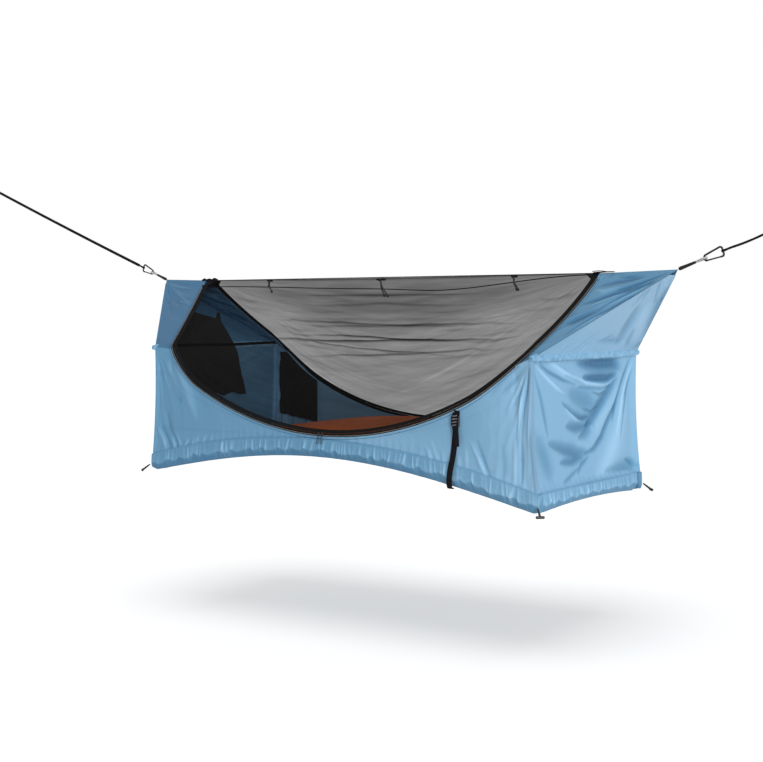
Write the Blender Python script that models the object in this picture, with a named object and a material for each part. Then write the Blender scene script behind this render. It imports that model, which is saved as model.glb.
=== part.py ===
"""Hammock tent, hung taut between two straps.

A long box of thin cloth hangs from a ridge line. Each end is a hood that gathers to a
tip, and the tips hang on cord loops, carabiners and straps. Two net doors close the
scooped sides, each with a zip along its curved edge. Poles across the ends spread it.

Metres, +Z up, +X along the ridge. The tent is drawn about its own middle, with the
bottom corners at zero height, and hangs_from moves it so that the origin of the part
lies in the eye of the left strap. The back is the front turned half a turn about Z.
"""

import math

import bmesh
import bpy
from mathutils import Matrix, Vector

# Body of the tent
floor_length = 2.04
floor_width = 0.80
waist_length = 1.98
waist_height = 0.53
ridge_length = 2.06
ridge_height = 0.838
tip_span = 2.71
tip_rise = 0.010
tip_cut = 0.004
cloth = 0.0016
seam_gap = 0.0003
corner_allowance = 0.0011
hood_allowance = 0.0030
top_allowance = 0.0014
wing_start = 0.006

# Puckered hem round the floor
hem_depth = 0.030
hem_bulge = 0.007
hem_rise = 0.133
hem_drop = 0.030
hem_end_rise = 0.018
seam_rise = 0.178
seam_corner = 0.045
hem_pucker = 0.0030

# Scooped opening of each side, closed by a net
scoop_radius = 1.60
scoop_low = 0.205
scoop_half = 0.70
knee_rise = 0.005
knee_near = 0.874
knee_far = 0.948
near_top_reach = 0.034
far_top_reach = 0.0
near_bow = -0.006
far_bow = 0.022
near_handle = 0.120
far_handle = 0.120
near_knee_handle = 0.030
far_knee_handle = 0.075
near_start_share = 0.04
far_start_share = 0.15
near_end_share = 0.91
far_end_share = 0.93
upper_ahead_share = 0.02

# Zip: the tape is sewn to the wall and the binding to the net
tape_width = 0.014
tape_thickness = 0.0020
coil_width = 0.0045
coil_height = 0.0024
binding_width = 0.022
binding_thickness = 0.0020
zip_split = 0.0006
sew_gap = 0.0005

# Zip slider with its pull
slider_length = 0.011
slider_width = 0.009
slider_height = 0.0042
slider_space = 0.004
slider_bevel = 0.0011
pull_drop = 0.034
pull_spread = 0.010
pull_lean = 0.0095
pull_cord = 0.0022
pull_right_shares = ((0, 0), (0.75, -0.30), (1, -0.70), (0.45, -1))
pull_left_shares = ((-0.45, -1), (-1, -0.70), (-0.75, -0.30))

# Ridge line, gear line and the webbing at the ridge's ends
ridge_cord_radius = 0.0020
gear_cord_radius = 0.0013
gear_sag = 0.052
gear_end_drop = 0.0042
anchor_length = 0.090
anchor_width = 0.016
anchor_height = 0.0045
anchor_knot = 0.0060
anchor_neck = 0.022
anchor_round_shares = ((0, 0.8, 0), (0.06, 1, 0), (0.14, 1, 0), (0.22, 0.5, 0.6))
anchor_flat_shares = ((0.28, 0, 1), (0.9, 0, 1), (1, 0, 0.8))
net_thickness = 0.0012
net_seat = 0.0007
net_end_inset = 0.040

# Ties that hold a rolled net
tie_left = -0.643
tie_middle = 0.003
tie_right = 0.668
tie_knot = 0.0075
tie_short_tail = 0.024
tie_tail = 0.044
tie_long_tail = 0.060
tie_cord = 0.0022
tie_splay = 0.009

# End seams and their spreader poles
casing_height = 0.044
casing_depth = 0.018
casing_out = 0.010
casing_inset = 0.022
casing_taper = 0.026
casing_end_share = 0.36
casing_end_depth_share = 0.82
casing_pinch_share = 0.06
notch_half = 0.0090
pole_radius = 0.0050
pole_room = 0.0006
pole_tip = 0.009
pole_tip_shares = ((0, 0.35), (0.2, 0.8), (0.6, 1))
pole_overhang = 0.012

# Sleeping pad
pad_length = 1.88
pad_width = 0.66
pad_thickness = 0.070
pad_crown = 0.008
pad_edge = 0.016
pad_end_share = 0.25
pad_base_share = 0.60
floor_lift = 0.014

# Hanging pockets of dark cloth
pocket_cloth = 0.0016
end_pocket_rise = 0.160
end_pocket_drop = 0.235
end_pocket_front = -0.285
end_pocket_back = 0.172
end_pocket_slope = 0.038
end_pocket_tab = 0.032
end_pocket_rise_shares = (0, 0.32, 0.60, 0.77, 1)
end_pocket_front_shares = (0.70, 0.79, 1, 0.92, 0.60)
end_pocket_back_shares = (1, 0.79, 0.64, 0.38, 0)
end_pocket_across_shares = (0, 0.3, 0.6, 0.82, 1)
end_pocket_tab_share = 0.4
back_pocket_columns = (-7, -2)
back_pocket_rows = (1, 7)
back_pocket_lift_share = 0.70
back_pocket_gap = 0.0014

# Compression strap across one wall
strap_width = 0.025
strap_thickness = 0.0018
strap_inset = 0.032
strap_lean = 0.028
tab_drop = 0.022
buckle_width = 0.035
buckle_height = 0.0080
buckle_bar = 0.0040
buckle_rail = 0.0042
buckle_slot = 0.0075
tail_length = 0.090
strap_tuck = 0.006
strap_skew = 0.0030

# Toggles at the bottom corners, for the fly
toggle_stem = 0.040
toggle_root = 0.0010
toggle_neck = 0.0045
toggle_bar = 0.032
toggle_bar_width = 0.011
toggle_bar_height = 0.0085
toggle_bevel = 0.0026
toggle_seat = 0.00095
toggle_flat_share = 0.8
toggle_drop_share = 0.6
toggle_overlap = 0.0012
toggle_shares = ((0.08, 0.55), (0.35, 0.85))

# Suspension
hang_angle = math.radians(20.2)
sleeve_length = 0.072
sleeve_flare = 0.010
sleeve_mouth = 0.0056
sleeve_start = 0.0070
sleeve_end = 0.0050
loop_length = 0.030
loop_spread = 0.0004
loop_cord = 0.0030
carabiner_length = 0.080
carabiner_width = 0.044
carabiner_nose_width = 0.026
carabiner_corner = 0.0080
carabiner_rod = 0.0036
gate_rod = 0.0028
gate_start_share = 0.19
gate_end_share = 0.88
web_width = 0.014
web_thickness = 0.0024
web_loop_length = 0.034
eye_length = 0.060
eye_width = 0.030
eye_inner_radius = 0.006
left_strap_span = 1.260
right_strap_span = 0.135
strap_sag = 0.003
strap_step = 0.040
gate_turns = (0.35, 0.8, 1.2, math.pi / 2)

# Folds of the cloth: depths, how far a fan of them reaches, and how many there are
fan_depth = 0.016
fan_start = 0.10
fan_reach = 0.42
fan_folds = 13
wing_fold = 0.008
wing_folds = 4
hood_fold = 0.010
hood_folds = 5
loose_sag = 0.034
tight_sag = 0.012
sag_turns = 5.2
sag_slant_share = 0.62
sag_drop_share = 0.78
sag_base_share = 0.10
wall_fade_share = 0.7
hood_fade_share = 0.5
end_fade_share = 0.6
net_fold = 0.007
net_folds = 5
net_slant = 0.625

# Counts of stations and facets
hood_rows = 8
arc_steps = 16
knee_steps = 5
upper_steps = 5
near_knee_step = 1
far_knee_step = 2
wall_rows = 6
side_columns = 3
hood_columns = 4
end_columns = 14
end_rows = 10
hem_stations = 40
end_hem_stations = 14
floor_columns = 20
floor_rows = 4
net_rows = 6
cord_sides = 8
casing_sides = 12
thin_cord_sides = 6
tie_sides = 12
bend_steps = 6
corner_steps = 5
eye_steps = 4
fewest_strap_steps = 4
smooth_angle = math.radians(40)

# Derived places, all from the sizes above
half_floor = floor_length / 2
half_width = floor_width / 2
half_waist = waist_length / 2
half_ridge = ridge_length / 2
half_tip = tip_span / 2
half_cloth = cloth / 2
scoop_centre = scoop_low + scoop_radius
knee_height = waist_height + knee_rise
tip_height = ridge_height + tip_rise
strap_top_x = scoop_half - strap_inset
strap_low_x = strap_top_x - strap_lean
hang_out = Vector((math.cos(hang_angle), 0, math.sin(hang_angle)))
half_turn = Matrix.Rotation(math.pi, 4, "Z")
hands = {-1: "left", 1: "right"}
ridge_end = {-1: Vector((-half_ridge, 0, ridge_height)), 1: Vector((half_ridge, 0, ridge_height))}
wall_outward = Vector((0, -1, 0))


def along(side, distance):
    """A point on the line that pulls a tip outwards, at a distance from the tip."""
    out = Vector((side * hang_out.x, 0, hang_out.z))
    return Vector((side * half_tip, 0, tip_height)) + out * distance


def hang_frame(side):
    """Directions square to the pull of one end: upwards and sideways."""
    return Vector((-side * hang_out.z, 0, hang_out.x)), Vector((0, 1, 0))


# Distances along the pull, from a tip to the far eye
cord_start = sleeve_length + seam_gap
near_rod = cord_start + loop_length
far_rod = near_rod + carabiner_length - 2 * carabiner_rod
strap_start = far_rod + web_loop_length + seam_gap
strap_spans = {-1: left_strap_span, 1: right_strap_span}


def eye_start(side):
    """Where the strap ends and its far eye begins, as a distance along the pull."""
    return strap_start + strap_spans[side] + seam_gap


def eye_place(side):
    """The middle of the flat inside the far eye, which bears on what holds it."""
    return along(side, eye_start(side) + eye_length - web_thickness)


hangs_from = -eye_place(-1)


def clear_scene():
    """Remove everything that the file starts with."""
    for item in list(bpy.data.objects):
        bpy.data.objects.remove(item, do_unlink=True)


def material(name, colour, roughness, metallic=0.0):
    """A plain material of one colour."""
    made = bpy.data.materials.new(name)
    made.use_nodes = True
    shader = made.node_tree.nodes["Principled BSDF"]
    shader.inputs["Base Color"].default_value = (*colour, 1.0)
    shader.inputs["Roughness"].default_value = roughness
    shader.inputs["Metallic"].default_value = metallic
    made.diffuse_color = (*colour, 1.0)
    return made


def place(obj, parent, origin):
    """Hang an object on its parent, with its own origin at a point of the tent."""
    bpy.context.scene.collection.objects.link(obj)
    obj.parent = parent
    obj.location = origin
    return obj


def mesh_object(name, bm, paint, parent, origin=None, sharp=smooth_angle):
    """Turn a bmesh drawn in tent coordinates into a named object."""
    origin = origin or Vector((0, 0, 0))
    bmesh.ops.recalc_face_normals(bm, faces=bm.faces)
    bmesh.ops.translate(bm, verts=bm.verts, vec=-origin)
    mesh = bpy.data.meshes.new(name)
    bm.to_mesh(mesh)
    bm.free()
    mesh.shade_smooth()
    mesh.set_sharp_from_angle(angle=sharp)
    obj = bpy.data.objects.new(name, mesh)
    obj.data.materials.append(material(name, *paint))
    return place(obj, parent, origin)


def grid_faces(bm, grid):
    """Add a grid of points to a bmesh as quads."""
    rows = [[bm.verts.new(point) for point in row] for row in grid]
    for low, high in zip(rows, rows[1:]):
        for k in range(len(low) - 1):
            bm.faces.new((low[k], low[k + 1], high[k + 1], high[k]))


def cloth_object(name, patches, thickness, paint, parent, turned=False, origin=None):
    """A thin closed sheet over one or more grids that share their edges."""
    bm = bmesh.new()
    for grid in patches:
        grid_faces(bm, grid)
    bmesh.ops.remove_doubles(bm, verts=bm.verts, dist=seam_gap / 3)
    if turned:
        bmesh.ops.transform(bm, matrix=half_turn, verts=bm.verts)
    obj = mesh_object(name, bm, paint, parent, origin)
    solid = obj.modifiers.new("Thickness", "SOLIDIFY")
    solid.thickness = thickness
    solid.offset = 0
    solid.use_even_offset = True
    solid.use_rim = True
    return obj


def loft(bm, rings, closed=False):
    """Skin a row of equal rings, and cap the ends unless it closes on itself."""
    made = [[bm.verts.new(point) for point in ring] for ring in rings]
    pairs = list(zip(made, made[1:]))
    if closed:
        pairs.append((made[-1], made[0]))
    for low, high in pairs:
        for k in range(len(low)):
            n = (k + 1) % len(low)
            bm.faces.new((low[k], low[n], high[n], high[k]))
    if not closed:
        bm.faces.new(made[0])
        bm.faces.new(list(reversed(made[-1])))


def loft_object(name, rings, paint, parent, turned=False, origin=None, closed=False):
    """One solid skinned over a row of rings."""
    bm = bmesh.new()
    loft(bm, rings, closed)
    if turned:
        bmesh.ops.transform(bm, matrix=half_turn, verts=bm.verts)
    return mesh_object(name, bm, paint, parent, origin)


def ring(centre, a, b, radius_a, radius_b=None, sides=cord_sides):
    """An ellipse of points about a centre, in the plane of two directions."""
    radius_b = radius_a if radius_b is None else radius_b
    turns = [2 * math.pi * k / sides for k in range(sides)]
    return [centre + a * (radius_a * math.cos(t)) + b * (radius_b * math.sin(t)) for t in turns]


def box_ring(centre, a, b, half_a, half_b):
    """A rectangle about a centre."""
    corners = ((-1, -1), (1, -1), (1, 1), (-1, 1))
    return [centre + a * (half_a * p) + b * (half_b * q) for p, q in corners]


def tangents(points, closed=False):
    """Directions along a path, at each of its points."""
    last = len(points) - 1
    found = []
    for k in range(len(points)):
        before = points[k - 1] if k or closed else points[0]
        after = points[(k + 1) % len(points)] if k < last or closed else points[last]
        found.append((after - before).normalized())
    return found


def tube_rings(points, radius, side, closed=False, sides=cord_sides):
    """Round rings along a path that stays nearly square to one side direction."""
    rings = []
    for point, way in zip(points, tangents(points, closed)):
        b = way.cross(side).normalized()
        a = b.cross(way).normalized()
        rings.append(ring(point, a, b, radius, sides=sides))
    return rings


def band_rings(points, across, half_wide, half_thick, closed=False):
    """Flat rings along a path, as of webbing, wide along one direction."""
    rings = []
    for point, way in zip(points, tangents(points, closed)):
        thick = way.cross(across).normalized()
        rings.append(box_ring(point, across, thick, half_wide, half_thick))
    return rings


def cord_object(name, points, radius, paint, parent):
    """A cord as a curve with a round bevel and filled ends."""
    curve = bpy.data.curves.new(name, "CURVE")
    curve.dimensions = "3D"
    curve.bevel_depth = radius
    curve.bevel_resolution = 2
    curve.use_fill_caps = True
    spline = curve.splines.new("POLY")
    spline.points.add(len(points) - 1)
    for target, point in zip(spline.points, points):
        target.co = (*point, 1)
    curve.materials.append(material(name, *paint))
    return place(bpy.data.objects.new(name, curve), parent, Vector((0, 0, 0)))


def join_to(obj, other):
    """Fuse a second solid into the first."""
    other.hide_render = True
    other.display_type = "WIRE"
    union = obj.modifiers.new("Join", "BOOLEAN")
    union.operation = "UNION"
    union.object = other
    union.solver = "EXACT"


# The scooped opening


def zip_top(side):
    """The point of the ridge that the edge of the opening runs up to."""
    return ridge_end[side] + Vector((side * top_reaches[side], 0, 0))


def upper_edge(side, share):
    """A point on the edge of the opening from a knee up to the ridge."""
    knee_x, bow = knees[side][:2]
    knee = Vector((side * knee_x, -half_width, knee_height))
    point = knee.lerp(zip_top(side), share)
    return point + Vector((side * bow * 4 * share * (1 - share), 0, 0))


def arc_point(angle):
    """A point on the round lower edge of the opening, by its angle from straight down."""
    z = scoop_centre - scoop_radius * math.cos(angle)
    return Vector((scoop_radius * math.sin(angle), -half_width, z))


def bezier(a, b, c, d, share):
    """A point on a cubic curve."""
    rest = 1 - share
    return a * rest**3 + b * 3 * rest**2 * share + c * 3 * rest * share**2 + d * share**3


arc_angle = math.asin(scoop_half / scoop_radius)
knees = {
    -1: (knee_near, near_bow, near_handle, near_knee_handle, near_start_share, near_end_share),
    1: (knee_far, far_bow, far_handle, far_knee_handle, far_start_share, far_end_share),
}
top_reaches = {-1: near_top_reach, 1: far_top_reach}


def half_scoop(side):
    """The opening's edge from the end of its arc to the ridge's end, on one half."""
    handle, knee_handle, start_share, end_share = knees[side][2:]
    start = arc_point(side * arc_angle)
    start_way = Vector((side * math.cos(arc_angle), 0, math.sin(arc_angle)))
    top = upper_edge(side, start_share)
    ahead = upper_edge(side, start_share + upper_ahead_share)
    top_way = (ahead - top).normalized()
    first = start + start_way * handle
    second = top - top_way * knee_handle
    points = [bezier(start, first, second, top, (k + 1) / knee_steps) for k in range(knee_steps)]
    for k in range(upper_steps):
        share = start_share + (end_share - start_share) * (k + 1) / upper_steps
        points.append(upper_edge(side, share))
    return points


def scoop_line():
    """The whole edge of the front opening, from the left end of the ridge to the right."""
    arc = [arc_point(arc_angle * (2 * k / arc_steps - 1)) for k in range(arc_steps + 1)]
    return list(reversed(half_scoop(-1))) + arc + half_scoop(1)


def wing_outward(side):
    """The outward normal of the hood's front face, from the waist corner to the ridge."""
    corner = Vector((side * half_waist, -half_width, waist_height))
    tip = Vector((side * half_tip, 0, tip_height))
    normal = (tip - corner).cross(ridge_end[side] - corner).normalized()
    return normal if normal.z > 0 else -normal


scoop = scoop_line()
scoop_ways = tangents(scoop)
left_knee = upper_steps + near_knee_step
right_knee = len(scoop) - 1 - upper_steps - far_knee_step


def cloth_normal(k):
    """The outward normal of the cloth beside station k of the opening's edge."""
    bent = knee_steps + upper_steps
    far = len(scoop) - 1 - bent
    if bent <= k <= far:
        return wall_outward
    side = -1 if k < bent else 1
    steps_up = bent - k if side < 0 else k - far
    share = min(1, steps_up / knee_steps)
    return wall_outward.lerp(wing_outward(side), share).normalized()


def wallward(k):
    """The direction from the opening's edge into the cloth."""
    return scoop_ways[k].cross(cloth_normal(k)).normalized()


def edge_shares():
    """How far each station lies along the opening's edge, from -1 to 1."""
    run = [0]
    for a, b in zip(scoop, scoop[1:]):
        run.append(run[-1] + (b - a).length)
    return [2 * at / run[-1] - 1 for at in run]


scoop_shares = edge_shares()


def net_anchor(k):
    """The point of the ridge line that the net over station k runs up to."""
    return Vector((scoop_shares[k] * (half_ridge - net_end_inset), 0, ridge_height))


def netward(k):
    """The direction from the opening's edge into the net, square to the edge."""
    reach = net_anchor(k) - scoop[k]
    return (reach - scoop_ways[k] * reach.dot(scoop_ways[k])).normalized()


def tape_rings():
    """Sections of the zip tape, with the coil as a bead along its inner edge."""
    rings = []
    half = tape_thickness / 2
    for k, point in enumerate(scoop):
        into, out = wallward(k), cloth_normal(k)
        outline = (
            (zip_split, -half),
            (tape_width, -half),
            (tape_width, half),
            (coil_width, half),
            (coil_width * 3 / 4, half + coil_height),
            (zip_split, half + coil_height),
        )
        rings.append([point + into * a + out * b for a, b in outline])
    return rings


def binding_rings():
    """Sections of the net's bound edge."""
    rings = []
    half = binding_thickness / 2
    for k, point in enumerate(scoop):
        into = netward(k)
        out = into.cross(scoop_ways[k]).normalized()
        middle = point + into * ((zip_split + binding_width) / 2)
        rings.append(box_ring(middle, into, out, (binding_width - zip_split) / 2, half))
    return rings


# Walls of cloth


def seam_height(x):
    """Height of the seam between a long wall and its hem."""
    return seam_rise - (seam_rise - seam_corner) * (x / half_floor) ** 2


def hem_height(x):
    """Height of the lower edge of a long hem."""
    return hem_rise - (hem_rise + hem_drop) * (x / half_floor) ** 2


end_seam = seam_height(half_floor - 3 * cloth) + seam_gap


def corner_x(z):
    """Half length of the tent at a height, between its bottom corners and its waist."""
    return half_floor + (half_waist - half_floor) * z / waist_height


def wave_crest(phase):
    """A wave from none to one, for folds that only go one way."""
    return (1 - math.cos(phase)) / 2


def pull_folds(point, side):
    """Depth of the folds that fan out below a waist corner, always inwards."""
    reach = Vector((side * half_waist - point.x, waist_height - point.z))
    distance = reach.length
    angle = math.atan2(reach.x * side, reach.y)
    crest = wave_crest(angle * fan_folds)
    fade = math.exp(-((distance / fan_reach) ** 2)) * min(1, distance / fan_start)
    return fan_depth * crest * fade


def wall_bottom(x):
    """A point on the lower edge of the front wall."""
    return Vector((x, -half_width, seam_height(x) + seam_gap))


def wall_columns():
    """Top and bottom ends of the columns of the front wall below its waist."""
    inner = [scoop[k] + wallward(k) * (tape_width + sew_gap) for k in range(left_knee, right_knee + 1)]
    columns = []
    for side, near in ((-1, inner[0]), (1, inner[-1])):
        corner = Vector((side * notch_x, -half_width, waist_height))
        run = [corner.lerp(near, k / side_columns) for k in range(side_columns)]
        columns.append(run)
    tops = columns[0] + inner + list(reversed(columns[1]))
    lengths = [0]
    for a, b in zip(tops, tops[1:]):
        lengths.append(lengths[-1] + (b - a).length)
    reach = corner_x(seam_corner) - corner_allowance
    return [(top, wall_bottom(reach * (2 * at / lengths[-1] - 1))) for top, at in zip(tops, lengths)]


wall_rise = waist_height - seam_corner
notch_share = 1 - notch_half / wall_rise
step_share = 1 - notch_half * 5 / 4 / wall_rise
row_shares = [k / wall_rows for k in range(wall_rows)] + [step_share, notch_share, 1]


def wall_patch():
    """The front wall from its hem seam up to the opening and the waist."""
    grid = []
    columns = wall_columns()
    last = len(columns) - 1
    for share in row_shares:
        row = []
        for k, (top, bottom) in enumerate(columns):
            point = bottom.lerp(top, share)
            if k in (0, last) and share < notch_share:
                point.x = math.copysign(corner_x(point.z) - corner_allowance, point.x)
            elif k in (0, last):
                point.x = math.copysign(notch_x, point.x)
            edge = min(k, last - k) / side_columns
            fade = min(1, edge) * abs(math.sin(math.pi * share)) ** wall_fade_share if share < 1 else 0
            depth = pull_folds(point, -1) + pull_folds(point, 1)
            point.y += depth * fade
            row.append(point)
        grid.append(row)
    return grid


def wing_patch(side):
    """The hood's front face, from the waist corner and the opening up to the tip."""
    columns = wall_columns()
    waist = columns[: side_columns + 1] if side < 0 else list(reversed(columns))[: side_columns + 1]
    waist = [top for top, _ in waist]
    stations = range(left_knee, -1, -1) if side < 0 else range(right_knee, len(scoop))
    inner = [scoop[k] + wallward(k) * (tape_width + sew_gap) for k in stations]
    tip = along(side, -tip_cut) + Vector((0, -hood_allowance, 0))
    corner = Vector((side * (half_waist - hood_allowance), -half_width, waist_height))
    inner.append(zip_top(side) + Vector((side * wing_start, -top_allowance, 0)))
    normal = wing_outward(side)
    grid = []
    for n, start in enumerate(inner):
        share = n / (len(inner) - 1)
        outer = corner.lerp(tip, share)
        row = []
        for k in range(side_columns + 1):
            across = k / side_columns
            point = outer.lerp(start, across)
            wave = math.sin(math.pi * across) * math.sin(math.pi * share)
            point -= normal * wing_fold * wave * wave_crest(wing_folds * math.pi * across)
            row.append(point)
        grid.append(row)
    grid[0] = waist
    return grid[:1] + sleeve_rows(side, corner, tip, waist, grid[1]) + grid[1:]


def sleeve_rows(side, corner, tip, low, high):
    """Two more rows of the wing, which step its edge out over the pole."""
    rows = []
    for lift, on_edge in ((notch_half, False), (notch_half * 5 / 4, True)):
        z = waist_height + lift
        rise = (z - waist_height) / (tip_height - waist_height)
        share = (z - waist_height) / (high[0].z - waist_height)
        row = [a.lerp(b, share) for a, b in zip(low, high)]
        edge_x = half_waist + (half_tip - half_waist) * rise - hood_allowance if on_edge else notch_x
        row[0] = Vector((side * edge_x, corner.y + (tip.y - corner.y) * rise, z))
        rows.append(row)
    return rows


def hood_patch(side):
    """The end face of the hood, from the waist seam up to the tip."""
    low = waist_height + casing_height / 2 + seam_gap
    rise = (low - waist_height) / (tip_height - waist_height)
    grid = []
    for n in range(hood_rows + 1):
        share = rise + (tip_share - rise) * n / hood_rows
        x = half_waist + (half_tip - half_waist) * share
        z = waist_height + (tip_height - waist_height) * share
        reach = half_width * (1 - share) - hood_allowance
        row = []
        for k in range(hood_columns * 2 + 1):
            across = k / hood_columns - 1
            crest = wave_crest(hood_folds * math.pi * across)
            fade = (1 - across**2) * abs(math.sin(math.pi * (n / hood_rows))) ** hood_fade_share
            depth = hood_fold * crest * fade
            row.append(Vector((side * (x - depth * hood_in.x), across * reach, z + depth * hood_in.z)))
        grid.append(row)
    return grid


pole_x = half_waist + casing_out - casing_depth / 2
notch_x = half_waist + casing_out - casing_depth - corner_allowance
tip_share = 1 - 6 * tip_cut / (half_tip - half_waist)
hood_in = Vector((tip_height - waist_height, 0, half_tip - half_waist)).normalized()


def end_patch(side, sag):
    """The loose lower end wall, with folds that sag from its front waist corner."""
    top = waist_height - casing_height / 2 - seam_gap
    grid = []
    for n in range(end_rows + 1):
        rise = n / end_rows
        row = []
        for k in range(end_columns + 1):
            across = 2 * k / end_columns - 1
            y = across * (half_width - corner_allowance)
            low = end_seam + seam_gap
            z = low + (top - low) * rise
            fade = ((1 - across**2) * abs(math.sin(math.pi * rise))) ** end_fade_share
            phase = sag_turns * math.pi * ((1 + across) / 2 * sag_slant_share + (1 - rise) * sag_drop_share)
            depth = sag * fade * (sag_base_share + (1 - sag_base_share) * wave_crest(phase))
            row.append(Vector((side * (corner_x(z) - depth), y, z)))
        grid.append(row)
    return grid


def hem_section(centre, out, low, high, pucker):
    """One section of the hem, with a flat top where the wall sits on it."""
    middle = (low + high) / 2
    wall = half_cloth + seam_gap
    outline = (
        (wall, high),
        (hem_bulge + pucker, middle + (high - middle) / 2),
        (hem_bulge + pucker * 2, middle - (middle - low) / 3),
        (-hem_bulge / 2, low + pucker),
        (-hem_depth * 2 / 3, low + pucker),
        (-hem_depth, low + floor_lift / 2),
        (-hem_depth, high),
    )
    return [centre + out * a + Vector((0, 0, b)) for a, b in outline]


def long_hem_rings():
    """Sections of the hem under the front wall."""
    rings = []
    for k in range(hem_stations + 1):
        x = (2 * k / hem_stations - 1) * half_floor
        pucker = hem_pucker * math.cos(math.pi * k)
        if k in (0, hem_stations):
            pucker = 0
        centre = Vector((x, -half_width, 0))
        rings.append(hem_section(centre, wall_outward, hem_height(x), seam_height(x), pucker))
    return rings


def end_hem_rings(side):
    """Sections of the hem across one end, between the two long hems."""
    rings = []
    reach = half_width - hem_depth - seam_gap
    for k in range(end_hem_stations + 1):
        y = (2 * k / end_hem_stations - 1) * reach
        pucker = hem_pucker * math.cos(math.pi * k)
        if k in (0, end_hem_stations):
            pucker = 0
        low = -hem_drop + hem_end_rise * (1 - (y / half_width) ** 2)
        centre = Vector((side * corner_x(seam_corner), y, 0))
        rings.append(hem_section(centre, Vector((side, 0, 0)), low, end_seam, pucker))
    return rings


def floor_height(x):
    """Height of the floor's cloth above a place along the tent."""
    return hem_height(x) + floor_lift + half_cloth


floor_reach = corner_x(seam_corner) - hem_depth - seam_gap
floor_stations = [(2 * k / floor_columns - 1) * floor_reach for k in range(floor_columns + 1)]


def floor_chord(x):
    """Height of the faceted floor at a place along the tent."""
    for a, b in zip(floor_stations, floor_stations[1:]):
        if a <= x <= b:
            share = (x - a) / (b - a)
            return floor_height(a) * (1 - share) + floor_height(b) * share
    return floor_height(x)


def floor_patch():
    """The floor, arched like the long hems and hung between their inner faces."""
    reach_y = half_width - hem_depth - seam_gap
    grid = []
    for n in range(floor_rows + 1):
        y = (2 * n / floor_rows - 1) * reach_y
        row = []
        for x in floor_stations:
            row.append(Vector((x, y, floor_height(x))))
        grid.append(row)
    return grid


def pad_rings():
    """Sections of the pad, which lies on the arched floor."""
    rings = []
    half = pad_width / 2
    end = pad_length / 2
    inner = [x for x in floor_stations if abs(x) < end - pad_edge]
    for x in [-end, pad_edge - end] + inner + [end - pad_edge, end]:
        base = floor_chord(x) + half_cloth + seam_gap * 2
        soft = pad_end_share + (1 - pad_end_share) * min(1, (end - abs(x)) / pad_edge)
        high = base + pad_thickness * (pad_base_share + (1 - pad_base_share) * soft)
        outline = (
            (-half + pad_edge, base),
            (half - pad_edge, base),
            (half, base + pad_thickness / 3),
            (half - pad_edge / 3, high - pad_edge),
            (half - pad_edge * 2, high),
            (0, high + pad_crown * soft),
            (-half + pad_edge * 2, high),
            (-half + pad_edge / 3, high - pad_edge),
            (-half, base + pad_thickness / 3),
        )
        rings.append([Vector((x, y, z)) for y, z in outline])
    return rings


def net_depth(share, k):
    """How far the net stands out at station k, a share of the way down from the ridge."""
    fade = math.sin(math.pi * share) * math.sin(math.pi * k / (len(scoop) - 1))
    return net_fold * fade * math.sin(net_folds * math.pi * share + scoop[k].x / net_slant)


def net_patch():
    """The front net, from just under the ridge line down to its binding."""
    start = ridge_cord_radius + net_seat
    grid = []
    for n in range(net_rows + 1):
        share = n / net_rows
        row = []
        for k, point in enumerate(scoop):
            anchor = net_anchor(k)
            edge = point + netward(k) * (binding_width + seam_gap)
            down = (edge - anchor).normalized()
            top = anchor + down * start
            place_at = top.lerp(edge, share)
            normal = down.cross(Vector((1, 0, 0))).normalized()
            row.append(place_at + normal * net_depth(share, k))
        grid.append(row)
    return grid


def net_place(x, drop):
    """A point of the front net's first row of facets, at a drop below its upper edge."""
    upper, lower = net_patch()[:2]
    run = [a + (b - a).normalized() * drop for a, b in zip(upper, lower)]
    for a, b in zip(run, run[1:]):
        if a.x <= x <= b.x:
            return a.lerp(b, (x - a.x) / (b.x - a.x))
    return run[0]


def casing_rings(side):
    """Sections of the end seam's sleeve, before its bore is cut."""
    rings = []
    reach = half_width - casing_inset
    inner = reach - casing_taper
    stations = [(-reach, casing_end_share), (-inner, 1)]
    for k in range(1, hood_columns * 2):
        stations.append(((k / hood_columns - 1) * inner, 1 - casing_pinch_share * (k % 2)))
    stations += [(inner, 1), (reach, casing_end_share)]
    for y, share in stations:
        centre = Vector((side * pole_x, y, waist_height))
        deep = casing_depth / 2 * max(share, casing_end_depth_share)
        high = casing_height / 2 * share
        rings.append(ring(centre, Vector((side, 0, 0)), Vector((0, 0, 1)), deep, high, sides=casing_sides))
    return rings


# Round the pole, and other small pieces


def bored(obj, start, end, radius, parent):
    """Cut a round bore through a solid."""
    way = (end - start).normalized()
    side = Vector((0, 0, 1))
    bm = bmesh.new()
    loft(bm, [ring(p, way.cross(side), side, radius, sides=cord_sides) for p in (start, end)])
    cutter = mesh_object(obj.name + "_bore", bm, grey_metal, parent)
    cutter.hide_render = True
    cutter.display_type = "WIRE"
    cut = obj.modifiers.new("Bore", "BOOLEAN")
    cut.operation = "DIFFERENCE"
    cut.object = cutter
    cut.solver = "EXACT"


def rounded_box(bm, size, bevel):
    """A box about zero with bevelled edges."""
    bmesh.ops.create_cube(bm, size=1)
    bmesh.ops.scale(bm, vec=size, verts=bm.verts)
    bmesh.ops.bevel(bm, geom=bm.edges[:], offset=bevel, segments=1, affect="EDGES")


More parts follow.
